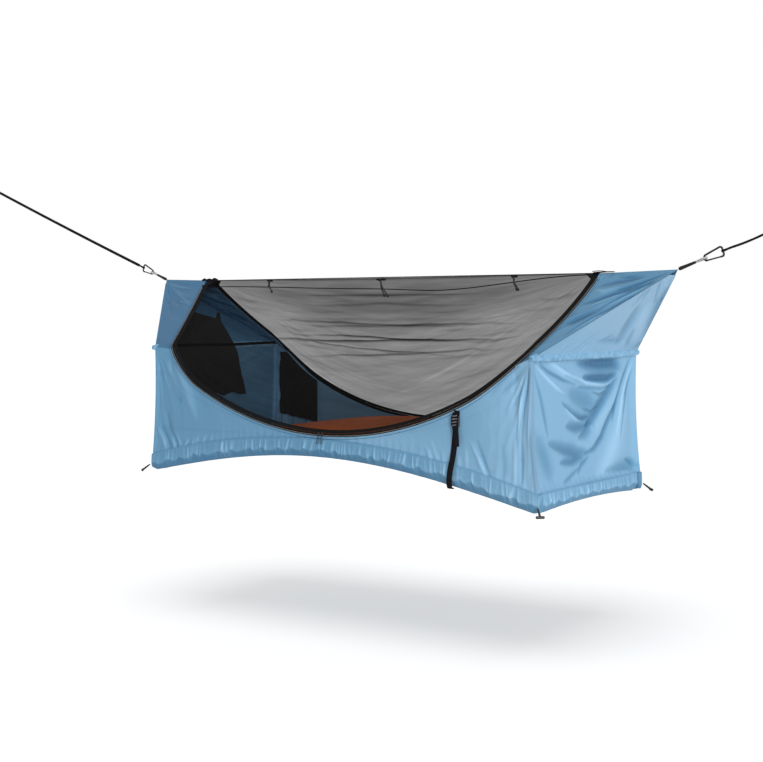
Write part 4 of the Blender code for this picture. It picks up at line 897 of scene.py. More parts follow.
scoop = scoop_line()
scoop_ways = tangents(scoop)
last_station = len(scoop) - 1
left_knee = n_up + round(0.2 * n_knee)
right_knee = last_station - n_up - round(0.4 * n_knee)
scoop_run = [0.0]
for a, b in zip(scoop, scoop[1:]):
    scoop_run.append(scoop_run[-1] + (b - a).length)
scoop_shares = [2 * r / scoop_run[-1] - 1 for r in scoop_run]


def cloth_normal(k):
    bent = n_knee + n_up
    far = last_station - bent
    if bent <= k <= far:
        return front
    side = -1 if k < bent else 1
    steps_up = bent - k if side < 0 else k - far
    return front.lerp(wing_outward(side), min(1, steps_up / n_knee)).normalized()


def wallward(k):
    return scoop_ways[k].cross(cloth_normal(k)).normalized()


def net_anchor(k):
    return Vector((scoop_shares[k] * (half_ridge - 0.040), 0, ridge_height))


def netward(k):
    reach = net_anchor(k) - scoop[k]
    return (reach - scoop_ways[k] * reach.dot(scoop_ways[k])).normalized()


# Folds of the net, followed in the photograph itself, with their widths in millimetres

net_steps, net_drop = 400, 700


def on_net(rows):
    """Rows of folds in pixels of the photograph, in millimetres along and down the net."""
    places = []
    for k, low in enumerate(scoop):
        high = net_anchor(k)
        for n in range(net_steps + 1):
            place = high.lerp(low, n / net_steps)
            places.append((*in_photo(place), round(place.x * 1000), round(n / net_steps * net_drop)))
    found = []
    for size, tone, first, second, *flat in rows:
        line = ()
        for px, py in zip(flat[0::2], flat[1::2]):
            line += min(places, key=lambda p: (p[0] - px) ** 2 + (p[1] - py) ** 2)[2:]
        found.append((size, tone, first, second, *line))
    return found


net_marks = placed(on_net([
    (8, 10, 5, 4, 254, 334.5, 273, 338.6, 294, 338.8, 345, 341, 395, 340.6, 430, 340.1, 452, 341.2,
     466, 341.7),
    (4, 6, 4, 4, 466, 341.7, 485.5, 343.3, 506, 340.3),
    (7, 9, 4, 3, 306, 357.2, 345, 356.1, 389, 354.9, 430, 352.9, 471, 349.3, 515, 347.4),
    (6, 7, 7, 5, 313, 326.2, 345, 325.7, 387, 325.5, 430, 324.7, 461.8, 324.4, 490, 322.8, 522, 322.8),
    (4, 4, 8, 6, 430, 391, 457, 380.8, 480, 374, 495, 371.6),
    (4, 4, 9, 6, 345, 303, 385.8, 303.2, 430, 304.9, 475, 304),
    (5, 5, 10, 7, 540, 299, 565, 297.2, 576, 297.5),
    (3, 3, 8, 6, 520, 309, 543.5, 310, 565, 306.7), (4, 5, 6, 4, 280, 293, 345, 294.7, 400, 294, 472, 292.6),
    (3, 3, 6, 5, 326, 301, 345, 301.2, 380, 301), (4, 4, 6, 4, 432, 359, 470, 357, 505, 351),
    (3, 3, 8, 6, 440, 331, 475, 329), (4, 4, 6, 5, 470, 336.5, 506, 333, 520, 331),
    (-3, -3, 3, 3, 480, 318, 492, 315, 505, 314), (-3, -3, 3, 3, 495, 319, 510, 316),
    (-3, -3, 3, 3, 505, 311, 520, 308), (-3, -3, 3, 3, 520, 312, 535, 309),
    (-3, -3, 3, 3, 485, 311, 500, 308), (-3, -4, 9, 4, 282, 346.6, 310, 368.9, 345, 393.9),
    (3, 3, 6, 6, 300, 310, 320, 312, 345, 311), (3, 2, 9, 9, 290, 318, 330, 320, 380, 317),
]))

# Walls


def seam_height(x):
    return seam_rise - (seam_rise - seam_corner) * (x / half_floor) ** 2


def hem_height(x):
    return hem_rise - (hem_rise + hem_drop) * (x / half_floor) ** 2


def hem_low(x):
    """Lower edge of the loose cloth of a long hem, which hangs under the taut line in the middle."""
    return hem_height(x) - hem_sag * (1 - (x / half_floor) ** 4)


def corner_x(z):
    """Half length at a height, with the slack upright edges drawn in a little."""
    share = max(0.0, min(1.0, z / waist_height))
    return half_floor + (half_waist - half_floor) * share - edge_slack * math.sin(math.pi * share) ** 0.8


side_columns = 22
wall_rows = 64
gather_pitch, fold_strength = 165.0, 0.34
top_band, band_spread = 0.0090, 1.25


def dense(points, each):
    """A line of points with more of them laid straight between each two."""
    found = [a.lerp(b, k / each) for a, b in zip(points, points[1:]) for k in range(each)]
    return found + [points[-1]]


def under_tape(k):
    """Where the wall's cloth ends, under the zip tape."""
    return scoop[k] + wallward(k) * (tape_width * tape_under)


def wall_columns():
    inner = dense([under_tape(k) for k in range(left_knee, right_knee + 1)], 3)
    columns = []
    for side, near in ((-1, inner[0]), (1, inner[-1])):
        corner = Vector((side * notch_x, -half_width, waist_height))
        columns.append([corner.lerp(near, k / side_columns) for k in range(side_columns)])
    tops = columns[0] + inner + list(reversed(columns[1]))
    lengths = [0.0]
    for a, b in zip(tops, tops[1:]):
        lengths.append(lengths[-1] + (b - a).length)
    reach = corner_x(seam_corner)
    bottoms = []
    for at in lengths:
        x = reach * (2 * at / lengths[-1] - 1)
        bottoms.append(Vector((x, -half_width, seam_height(x))))
    return list(zip(tops, bottoms))


def wall_folds(point, seed):
    """How far the front wall is drawn in at a point by its folds, and its painted shade and highlight there.
    """
    depth = 0.0
    for side in (-1, 1):
        reach = Vector((side * (half_waist - 0.005) - point.x, waist_height - point.z))
        distance = reach.length
        angle = math.atan2(reach.x * side, max(1e-6, reach.y))
        warped = angle + 0.10 * wobble(angle * 3.0, distance * 2.5, seed + side)
        fade = step(distance, 0.02, 0.10) * math.exp(-((distance / 0.36) ** 2))
        strong = bell(angle, 0.12, 0.22, 0.50)
        depth += fold_strength * 0.011 * fade * strong * (1 - ridge(warped * 34.0 + seed, 1.3))
        depth += fold_strength * 0.006 * fade * (1 - ridge(warped * 15.0 + 1.3 * seed, 1.8))
        edge = abs(side * half_floor - point.x)
        deep = math.exp(-((edge / 0.20) ** 2)) * step(point.z, seam_corner, seam_corner + 0.10)
        lanes = edge * 150.0 + 2.4 * wobble(edge * 9.0, point.z * 2.2, seed)
        low = step(waist_height - point.z, 0.02, 0.12)
        depth += fold_strength * 0.0045 * deep * (1 - ridge(lanes, 1.6)) * low
    above = point.z - seam_height(point.x)
    near_hem = math.exp(-((above / 0.040) ** 2))
    lanes = point.x * gather_pitch + 3.5 * wobble(point.x * 6.0, seed)
    lanes += above * 18.0 * wobble(point.x * 11.0, 2.0 + seed)
    gather = 0.6 + 0.7 * wobble(point.x * 5.0, 7.0 + seed)
    depth += 0.0042 * near_hem * max(0.15, gather) * (1 - ridge(lanes, 1.4))
    depth += 0.0030 * (0.5 + 0.5 * wobble(point.x * 4.0 + seed, point.z * 5.0))
    placed_depth, tone = creases(point.x, point.z, wall_marks)
    # Painted light: darker at the left and lighter towards the right end, a painted highlight low in the
    # middle, and darker in a thin line along the hem seam
    tone += 0.18 - 0.55 * step(point.x, -0.05, 0.90) - 0.35 * step(point.x, 0.70, 0.98)
    tone -= 0.45 * bell(point.x, 0.20, 0.45, 0.40) * (1 - step(above, 0.03, 0.16))
    tone += 0.4 * math.exp(-((above / 0.005) ** 2))
    return depth + placed_depth, tone


def beside_scoop(k, last):
    """Whether a column of the wall ends at the waist seam, and not at the zip."""
    return k < side_columns or k > last - side_columns


def wall_grid(seed):
    """The long wall from its hem up to the zip, and the painted shade and highlight of each point."""
    columns = wall_columns()
    last = len(columns) - 1
    shares = [k / wall_rows for k in range(wall_rows - 1)]
    wall_rise = waist_height - seam_corner
    shares += [1 - top_band * band_spread / wall_rise, 1 - top_band / wall_rise, 1.0]
    grid, shade = [], []
    for share in shares:
        row, tones = [], []
        for k, (top, bottom) in enumerate(columns):
            point = bottom.lerp(top, share)
            if k in (0, last):
                x = notch_x if share >= shares[-2] else corner_x(point.z)
                point.x = math.copysign(x, point.x)
            else:
                pull = math.exp(-((min(k, last - k) / side_columns) * 2.2) ** 2)
                straight = half_floor + (half_waist - half_floor) * max(0, point.z) / waist_height
                point.x -= math.copysign((straight - corner_x(point.z)) * pull, point.x)
            under_seam = 0.10 if beside_scoop(k, last) else 0.16
            fade = step(min(k, last - k), 0, 3) * step(1 - share, 0.0, under_seam)
            depth, tone = wall_folds(point, seed)
            row.append(point + Vector((0, depth * fade * (0.35 + 0.65 * step(share, 0.0, 0.05)), 0)))
            tones.append(tone)
        grid.append(row)
        shade.append(tones)
    return grid, shade


# Painted shade over each hood's whole front face, far darker on the left, and how strongly the painted shade
# of its folds shows
wing_painted_shade = {-1: 1.40, 1: 0.24}
wing_painted_contrast = {-1: 1.0, 1: 1.7}


def wing_grid(side, seed, waist):
    """The hood's front face, with folds that run from its tip down beside the zip, and painted shade on them
    and over the whole face.
    """
    stations = range(left_knee, -1, -1) if side < 0 else range(right_knee, last_station + 1)
    inner = [under_tape(k) for k in stations]
    inner.append(zip_top(side) + Vector((side * 0.006, -0.0014, 0)))
    inner = dense(inner, 3)
    tip = along(side, -tip_cut)
    corner = Vector((side * half_waist, -half_width, waist_height))
    normal = wing_outward(side)
    marks = left_wing_marks if side < 0 else right_wing_marks
    count, wide = len(inner) - 1, 88
    grid = [[waist[0].lerp(waist[-1], k / wide) for k in range(wide + 1)]]
    shade = [[0.0] * (wide + 1)]
    line = (corner - tip).normalized()
    for n in range(1, count + 1):
        share = n / count
        outer = corner.lerp(tip, share)
        row, tones = [], []
        for k in range(wide + 1):
            across = k / wide
            point = outer.lerp(inner[n], across)
            back = point - tip
            reach = back.length
            angle = math.acos(max(-1, min(1, back.normalized().dot(line)))) if reach > 0.001 else 0.0
            edge = step(across, 0.0, 0.05) * step(1 - across, 0.0, 0.06) * step(share, 0.0, 0.06)
            edge *= step(1 - share, 0.0, 0.04)
            warped = angle + 0.05 * wobble(angle * 5.0, reach * 3.0, seed)
            fan = step(reach, 0.03, 0.16) * (1 - 0.55 * step(reach, 0.30, 0.62))
            depth = 0.0022 * fan * (1 - ridge(warped * 46.0 + seed, 1.5)) * bell(angle, 0.22, 0.20, 0.30)
            depth += 0.0022 * fan * (1 - ridge(warped * 21.0 + 2.0 * seed, 1.8))
            depth += 0.0030 * (0.5 + 0.5 * wobble(point.x * 7.0, point.z * 7.0, seed))
            placed_depth, tone = creases(point.x, point.y * wing_stretch, marks)
            row.append(point - normal * (depth + placed_depth) * edge)
            tones.append(wing_painted_contrast[side] * tone * max(edge, 0.4) + wing_painted_shade[side])
        grid.append(row)
        shade.append(tones)
    return grid, shade


def add_long_wall(face, turned, seed):
    wall, tones = wall_grid(seed)
    tops = wall[-1]
    left, left_tones = wing_grid(-1, seed + 3.1, tops[: side_columns + 1])
    right, right_tones = wing_grid(1, seed + 5.7, list(reversed(tops))[: side_columns + 1])
    grids, shades = [wall, left, right], [tones, left_tones, right_tones]
    obj = sheet_piece(f"{face}_wall_cloth", grids, "wall_blue", "tent", turned, shades)
    declare(obj, "wall_cloth", f"{face}_wall")
    return obj


def hood_grid(side, seed, shade_level):
    """The end face of the hood, from inside its pole sleeve up to the tip, with painted shade on its folds
    and towards its back edge.
    """
    low = waist_height + 0.006
    rise = (low - waist_height) / (tip_height - waist_height)
    end_share = 1 - 6 * tip_cut / (half_tip - half_waist)
    inward = Vector((tip_height - waist_height, 0, half_tip - half_waist)).normalized()
    rows, columns = 80, 100
    grid, shade = [], []
    for n in range(rows + 1):
        up_share = n / rows
        share = rise + (end_share - rise) * up_share
        x = half_waist + (half_tip - half_waist) * share
        z = waist_height + (tip_height - waist_height) * share
        reach = half_width * (1 - share)
        row, tones = [], []
        for k in range(columns + 1):
            across = 2 * k / columns - 1
            fade = (1 - across**2) ** 0.7 * math.sin(math.pi * min(1, up_share * 0.96 + 0.04)) ** 0.5
            lanes = across * 9.0 + 1.2 * wobble(across * 2.0, up_share * 2.0, seed)
            depth = 0.0016 * fade * (1 - ridge(lanes, 1.5))
            depth += 0.0024 * fade * (1 - ridge(across * 3.6 + seed, 1.6))
            near_seam = math.exp(-(((up_share - 0.08) / 0.10) ** 2)) * (1 - across**6)
            lanes = across * reach * 175.0 + 3.0 * wobble(across * 5.0, seed)
            gather = max(0.0, 0.5 + 1.2 * wobble(across * 7.0, 2.0, seed))
            lanes += up_share * 20.0 * wobble(across * 4.0, 5.0)
            depth += 0.0024 * gather * near_seam * (1 - ridge(lanes, 1.4))
            placed_depth, tone = creases(across * reach, share * hood_slant, hood_marks)
            depth += placed_depth * min(1.0, fade * 1.6) * step(up_share, 0.04, 0.12)
            row.append(Vector((side * (x - depth * inward.x), across * reach, z + depth * inward.z)))
            # Painted shade of the folds, plus the hood's painted shade level, darker towards the back edge
            tones.append(1.3 * tone + shade_level + 0.30 * step(across, 0.45, 1.0))
        grid.append(row)
        shade.append(tones)
    return grid, shade


end_painted_contrast = 1.9


def end_grid(side, strength, seed):
    """A loose end wall, with folds that sag between its two upper corners, painted shade in their hollows and
    painted highlight on their crests.
    """
    top = waist_height - 0.010
    low = seam_height(half_floor - 3 * cloth)
    rows, columns = 110, 130
    grid, shade = [], []
    for n in range(rows + 1):
        rise = n / rows
        row, tones = [], []
        for k in range(columns + 1):
            across = 2 * k / columns - 1
            y, z = across * half_width, low + (top - low) * rise
            side_in = step(1 - abs(across), 0.0, 0.12)
            fade = side_in * step(1 - rise, 0.0, 0.05) * step(rise, 0.0, 0.06)
            deep, tone = creases(y, z, end_marks)
            lanes = y * gather_pitch + 3.0 * wobble(y * 9.0, seed) + rise * 30.0 * wobble(y * 8.0, seed)
            gather = 0.004 * math.exp(-((rise / 0.07) ** 2)) * side_in * (1 - ridge(lanes, 1.4))
            lanes = y * 150.0 + 4.0 * wobble(y * 11.0, seed + 2.0)
            gather += 0.003 * math.exp(-(((1 - rise) / 0.06) ** 2)) * side_in * (1 - ridge(lanes, 1.4))
            depth = strength * (0.013 * fade**0.6 + 1.7 * deep * fade) + gather * min(1.0, strength * 2)
            depth += strength * 0.003 * fade * wobble(y * 7.0, z * 9.0, seed)
            row.append(Vector((side * (corner_x(z) - max(-0.004, depth)), y, z)))
            # Painted light: the right end wall is lighter all over, the left one darker with a painted
            # highlight strip at its back corner
            lit = -0.50 if strength > 0.5 else 0.60 - 1.3 * bell(across, -0.975, 0.02, 0.035)
            tone = end_painted_contrast * strength * tone * max(fade, 0.3) + lit
            # and darker in a thin band along the bottom edge
            tones.append(tone + 0.3 * math.exp(-((rise / 0.012) ** 2)))
        grid.append(row)
        shade.append(tones)
    return grid, shade


def casing_rings(side, seed):
    """The puckered sleeve of an end seam, round its pole."""
    reach = half_width - casing_inset
    inner = reach - casing_taper
    count = 150
    rings = []
    for n in range(count + 1):
        y = -reach + 2 * reach * n / count
        edge = min(1.0, (reach - abs(y)) / casing_taper)
        share = casing_end_share + (1 - casing_end_share) * step(edge, 0.0, 1.0)
        pucker = ridge(y * 150.0 + 9.0 * wobble(y * 9.0, seed), 1.3)
        pucker *= max(0.0, 0.5 + 1.4 * wobble(y * 21.0, seed + 4.0))
        gather = 0.5 + 0.5 * wobble(y * 14.0, 3.0 + seed)
        deep = casing_depth / 2 * max(share, 0.82)
        high = casing_height / 2 * share
        section = []
        for k in range(20):
            t = 2 * math.pi * k / 20
            flat = 1 - 0.30 * pucker * (0.6 + 0.4 * gather) * (0.4 + 0.6 * abs(math.sin(t)))
            out = math.cos(t) * deep * (1 - 0.10 * pucker)
            up = math.copysign(abs(math.sin(t)) ** 0.85, math.sin(t)) * high * flat
            section.append(Vector((side * (pole_x + out), y, waist_height + up)))
        rings.append(section)
    return rings


def hem_outline(low, high, nose, crest):
    """Points round one section of a hem from the wall outwards and under, and their tones: painted shade on
    the underside and painted highlight on the gathers' crests.
    """
    bulge, tall = hem_bulge, high - low
    edge = high - tall * nose
    points = [
        (0.0006, high + 0.0008), (bulge * 0.50 + crest * 0.5, high - tall * nose * 0.22),
        (bulge * 0.85 + crest, high - tall * nose * 0.55),
        (bulge * 1.05 + crest * 1.1, high - tall * nose * 0.85), (bulge * 1.08 + crest, edge),
        (bulge * 0.85 + crest * 0.8, edge - tall * 0.05),
        (bulge * 0.10 + crest * 0.4, edge - (edge - low) * 0.5), (-bulge * 0.9 + crest * 0.2, low + 0.003),
        (-bulge * 1.6, low + 0.001), (-hem_depth * 0.62, low + 0.001), (-hem_depth * 0.98, low + 0.007),
        (-hem_depth, (low + high) / 2), (-hem_depth * 0.98, high - 0.001), (-0.006, high),
    ]
    # Painted highlight on a gather's crest
    light = -min(1.0, max(-0.4, crest * 260))
    tones = [0.34, 0.06 + light * 0.7, light, light - 0.12, light * 0.8, 0.62 + light * 0.7]
    return points, tones + [0.85 + light * 0.5, 0.95, 0.95, 0.9, 0.9, 0.6, 0.4, 0.4]


# How far a gather slants, how high it stands and how wide it is
gather_limits = (-0.030, 0.022), (0.0006, 0.0030), (0.0022, 0.0060)


def hem_rings(place, length, seed, lit):
    """Sections along a hem; place gives the middle, the outward way, low and high at a run."""
    chance = random.Random(seed)
    gathers, run = [], -length / 2
    while run < length / 2:
        run += chance.uniform(0.007, 0.034) * (1 + 0.6 * wobble(run * 5.0, seed))
        slant, size, width = (chance.uniform(*limits) for limits in gather_limits)
        gathers.append((run, slant, size, width))
    count = round(length / 0.003)
    rings, shade = [], []
    for n in range(count + 1):
        run = -length / 2 + length * n / count
        centre, out, low, high = place(run)
        edge = step(length / 2 - abs(run), 0.0, 0.03)
        scallop = abs(math.sin(run * 38.0 + 3.0 * wobble(run * 7.0, seed)))
        nose = 0.50 + 0.15 * scallop + 0.10 * wobble(run * 13.0, 5.0 + seed)
        section, tones = [], []
        for m in range(14):
            lift = 0.0
            for at, slant, size, width in gathers:
                off = run - at - slant * min(m, 7) / 7
                if abs(off) < 3 * width:
                    lift += size * math.exp(-((off / width) ** 2))
            crest = (min(0.0050, lift) - 0.0010) * edge
            points, marks = hem_outline(low + 0.010 * (1 - edge), high, nose, crest)
            a, b = points[m]
            section.append(centre + out * (a * (0.4 + 0.6 * edge) if a > 0 else a) + Vector((0, 0, b)))
            # lit lightens the hem with painted highlight by its place along the hem
            tones.append(marks[m] - lit(run))
        rings.append(section)
        shade.append(tones)
    return rings, shade


def smooth_rings(rings):
    """Each section rounded by a closed curve through its points."""
    return [smooth_path(r, 2, closed=True) for r in rings]


def add_hem(name, place, length, seed, turned, lit):
    rings, shade = hem_rings(place, length, seed, lit)
    tones = []
    for row in shade:
        tones.append([(row[k // 2] + row[(k + 1) // 2 % len(row)]) / 2 for k in range(2 * len(row))])
    obj = swept(f"{name}_cloth", smooth_rings(rings), "hem_cloth", "tent", turned, tones=tones)
    declare(obj, "floor_cloth", name)


def add_hems():
    def long_place(x):
        return Vector((x, -half_width, 0)), front, hem_low(x), seam_height(x)

    for face, turned, seed in (("front", False, 4), ("back", True, 62)):
        # The long hems get a painted highlight that grows from the middle towards the end at positive x
        add_hem(f"{face}_hem", long_place, floor_length, seed, turned, lambda x: 0.45 * step(x, -0.05, 0.90))
    end_seam = seam_height(half_floor - 3 * cloth) + seam_gap

    def end_place(y):
        low = -hem_drop + hem_end_rise * (1 - (y / half_width) ** 2)
        return Vector((corner_x(seam_corner), -y, 0)), Vector((1, 0, 0)), low, end_seam

    reach = 2 * (half_width - hem_depth - seam_gap)
    for hand, turned, seed in (("right", False, 29), ("left", True, 44)):
        # The end hems get an even painted highlight
        add_hem(f"{hand}_hem", end_place, reach, seed, turned, lambda y: 0.42)


add_hems()
add_long_wall("front", False, 1.0)
add_long_wall("back", True, 4.0)
for hand, turned, strength, seed in (("right", False, 1.0, 1.7), ("left", True, 0.16, 5.2)):
    grid, tones = end_grid(1, strength, seed)
    obj = sheet_piece(f"{hand}_end_cloth", [grid], "wall_blue", "tent", turned, [tones])
    declare(obj, "wall_cloth", f"{hand}_end_wall")
    # Painted highlight over the right hood, painted shade over the left
    grid, tones = hood_grid(1, seed, -0.88 if hand == "right" else 0.60)
    obj = sheet_piece(f"{hand}_hood_cloth", [grid], "hood_blue", "tent", turned, [tones])
    declare(obj, "wall_cloth", f"{hand}_hood")
    rings = smooth_rings(casing_rings(1, seed))
    # The pole sleeve is painted lighter all over as painted highlight, with tone that differs at random
    tones = []
    for n, section in enumerate(rings):
        tones.append([-0.40 + 0.55 * wobble(n * 0.33, k * 0.12, seed) for k in range(len(section))])
    obj = swept(f"{hand}_sleeve_cloth", rings, "hood_blue", "tent", turned, tones=tones)
    declare(obj, "wall_cloth", f"{hand}_pole_sleeve")

# Zips, bindings and nets


coil_across, tape_seam_across, wall_seam_beyond = 0.0098, 0.0126, 0.0100
stitch_size = 0.0005, 0.0003


def add_zip(face, turned):
    half = tape_thickness / 2
    rings, beads, seams, edges = [], [], [], []
    for k in range(last_station + 1):
        point, into, out = scoop[k], wallward(k), cloth_normal(k)
        outline = ((zip_split, -half), (tape_width, -half), (tape_width + 0.0006, 0), (tape_width, half),
                   (tape_width * 0.7, half * 1.1), (0.0062, half * 1.1), (0.0054, half * 1.9),
                   (0.0046, half * 1.2), (zip_split, half))
        rings.append([point + into * a + out * b for a, b in outline])
        for found, across, above, wide, high, sides in (
                (beads, coil_across, half + 0.0005, 0.0013, 0.0009, 8),
                (seams, tape_seam_across, half * 1.15, *stitch_size, 6),
                (edges, tape_width + wall_seam_beyond, 0.0006, 0.0009, 0.0006, 6)):
            found.append(ring(point + into * across + out * above, into, out, wide, high, sides=sides))
    obj = swept(f"{face}_zip_tape_cloth", rings, "zip_tape", "tent", turned)
    declare(obj, "zip_tape", f"{face}_zip_tape")
    for name, what, paint, slot in (("coil", beads, "coil", "zip_tape"),
                                    ("tape_seam", seams, "black_thread", "zip_tape"),
                                    ("wall_seam", edges, "stitching", "wall_cloth")):
        declare(swept(f"{face}_{name}", what, paint, "tent", turned), slot)


def add_binding(face, turned, body):
    half = binding_thickness / 2
    rings, low_seam, high_seam = [], [], []
    for k, point in enumerate(scoop):
        into = netward(k)
        out = into.cross(scoop_ways[k]).normalized()
        a, b = zip_split, binding_width
        outline = ((a, -half * 0.8), (b, -half), (b + 0.0008, 0), (b, half), (b * 0.86, half * 0.75),
                   (b * 0.8, half * 1.15), (b * 0.45, half * 1.2), (b * 0.22, half * 0.8), (a, half * 0.8))
        rings.append([point + into * u + out * v for u, v in outline])
        for seam, across, above in ((low_seam, 0.22, 0.95), (high_seam, 0.86, 0.9)):
            place = point + into * (b * across) + out * (half * above)
            seam.append(ring(place, into, out, *stitch_size, sides=6))
    obj = swept(f"{face}_binding_tape", rings, "binding_tape", body, turned)
    declare(obj, "black_webbing", f"{face}_binding")
    for name, what in (("low_stitches", low_seam), ("high_stitches", high_seam)):
        declare(swept(f"{face}_{name}", what, "black_thread", body, turned), "black_webbing")


def net_folds(x, share, seed):
    """How far the net stands out, and how bunched it is, at a place along and down it."""
    level = share + 0.05 * wobble(x * 1.5, share * 3.0, seed) + 0.10 * x * (share - 0.3)
    fine = ridge(level * 120.0 + 6.0 * wobble(x * 3.0, share * 9.0, seed), 1.5)
    deep, dark = creases(x, share * net_drop / 1000, net_marks)
    dark += 0.27 * (1 - step(share, 0.10, 0.42)) - 0.17 * step(x, 0.35, 0.85)
    return 0.0022 * fine + deep * 0.9, 0.05 * fine + dark


def add_net(face, turned, body, seed):
    start = 0.0020 + 0.0007
    rows = 150
    grid, shade = [], []
    for n in range(rows + 1):
        share = n / rows
        row, dark = [], []
        for k, point in enumerate(scoop):
            anchor = net_anchor(k)
            edge = point + netward(k) * (binding_width - 0.004)
            down = (edge - anchor).normalized()
            place = (anchor + down * start).lerp(edge, share)
            normal = down.cross(Vector((1, 0, 0))).normalized()
            fade = math.sin(math.pi * share) ** 0.6 * math.sin(math.pi * k / last_station) ** 0.5
            lift, bunch = net_folds(place.x, share, seed)
            row.append(place + normal * (fade * (lift - 0.003)))
            dark.append(bunch * fade**0.5 + 0.5 * math.exp(-((share / 0.012) ** 2)))
        grid.append(row)
        shade.append(dark)
    obj = sheet_piece(f"{face}_net_mesh", [grid], "insect_net", body, turned, [shade])
    declare(obj, "insect_net", f"{face}_net")


for face, turned, seed in (("front", False, 1.3), ("back", True, 7.7)):
    add_zip(face, turned)
    add_binding(face, turned, f"{face}_door")
    add_net(face, turned, f"{face}_door", seed)

# Floor and pad


def floor_height(x):
    return hem_height(x) + 0.014 + cloth / 2


def add_floor():
    reach_x = corner_x(seam_corner) - hem_depth - seam_gap
    reach_y = half_width - hem_depth - seam_gap
    grid = []
    for n in range(49):
        y = (2 * n / 48 - 1) * reach_y
        row = []
        for k in range(121):
            x = (2 * k / 120 - 1) * reach_x
            edge = (1 - (x / reach_x) ** 8) * (1 - (y / reach_y) ** 8)
            ripple = 0.0022 * edge * (1 - ridge(y * 60.0 + 3.0 * wobble(x * 3.0, y * 4.0), 1.5))
            row.append(Vector((x, y, floor_height(x) - ripple)))
        grid.append(row)
    obj = sheet_piece("floor_cloth_sheet", [grid], "floor_blue", "tent")
    declare(obj, "floor_cloth", "floor_panel")


pad_tubes, pad_groove, pad_under = 9, 0.0105, 0.42


def add_pad():
    """An air pad with tubes along it, drawn in at its ends and seams."""
    half, end = pad_width / 2, pad_length / 2

    def side_round(u):
        return math.sqrt(max(0.0, 1 - max(0.0, (abs(u) - 0.90) / 0.10) ** 2))

    stations = [end * math.sin(math.pi / 2 * (2 * k / 140 - 1)) for k in range(141)]
    rings = []
    for x in stations:
        base = floor_height(x) + cloth / 2 + pad_lift
        near = min(1.0, (end - abs(x)) / 0.050)
        full = 0.22 + 0.78 * math.sqrt(max(0.0, 1 - (1 - near) ** 2))
        tall = (pad_thickness + 0.002) * full
        narrow = half - 0.010 * (1 - full) - 0.002 * ridge(x * 60.0, 1.2)
        section = []
        for k in range(73):
            u = 2 * k / 72 - 1
            groove = ridge((u + 1) / 2 * pad_tubes * 2 * math.pi, 1.6) if abs(u) < 0.93 else 0.0
            z = base + tall * (pad_under + (1 - pad_under) * side_round(u)) - pad_groove * groove * full
            section.append(Vector((u * narrow, 0, z)))
        under = []
        for k in range(73):
            u = 1 - 2 * k / 72
            under.append(Vector((u * narrow, 0, base + tall * pad_under * (1 - side_round(u)))))
        rings.append([Vector((x, p.x, p.z)) for p in section + under[1:-1]])
    obj = swept("sleeping_pad_cloth", rings, "pad_orange", "tent")
    declare(obj, "orange_cloth", "sleeping_pad")


add_floor()
add_pad()

# Pockets


def straight(start, end, steps):
    """Points on a straight line, from its start to its end."""
    return [Vector(start).lerp(Vector(end), k / steps) for k in range(steps + 1)]


def between(low, high, steps):
    """A grid of points between two lines of points."""
    return [[a.lerp(b, n / steps) for a, b in zip(low, high)] for n in range(steps + 1)]


def along_table(table, share):
    """The value of a table of (share, value) pairs at a share."""
    for (a, first), (b, second) in zip(table, table[1:]):
        if share <= b:
            return first + (second - first) * (share - a) / (b - a)
    return table[-1][1]


# The end pocket's two upright edges, as shares of its height and places across the tent
pocket_fronts = (0, -0.1995), (0.32, -0.2252), (0.60, -0.285), (0.77, -0.2622), (1, -0.171)
pocket_backs = (0, 0.172), (0.32, 0.1359), (0.60, 0.1101), (0.77, 0.0654), (1, 0.0)
pocket_low, pocket_high, pocket_slant, tab_lift = 0.295, 0.690, 0.038, 0.032
pouch_start, pouch_width, pouch_low, pouch_high, pouch_off = 0.703, 0.248, 0.155, 0.490, 0.0185


def add_end_pocket():
    """The dark panel that hangs inside the left end, with a tab at its upper corner."""
    x = -(half_waist + casing_out - casing_depth) + seam_gap + 0.0030
    grid = []
    for n in range(61):
        share = n / 60
        row = []
        for k in range(49):
            across = k / 48
            left, right = along_table(pocket_fronts, share), along_table(pocket_backs, share)
            right += 0.006 * wobble(share * 9.0, 2.0) * math.sin(math.pi * share)
            bottom = pocket_low + 0.012 * wobble(across * 6.0, 8.0) - 0.020 * (across - 0.8)
            top = pocket_high - pocket_slant * across
            lanes = across * 11.0 + 2.0 * wobble(across * 2.0, share * 3.0, 5.0)
            fold = 0.0050 * (1 - ridge(lanes, 1.5)) * math.sin(math.pi * share)
            out = x + fold * math.sin(math.pi * across)
            row.append(Vector((out, left + (right - left) * across, bottom + (top - bottom) * share)))
        grid.append(row)
    inner, outer, lift = grid[-1][39], grid[-1][48], along_z * tab_lift
    low = [inner.lerp(outer, k / 9) for k in range(10)]
    high = [inner.lerp(outer, 0.4 + 0.6 * k / 9) + lift for k in range(10)]
    obj = sheet_piece("end_pocket_cloth", [grid, between(low, high, 6)], "pocket_black", "tent")
    declare(obj, "dark_cloth", "end_pocket")


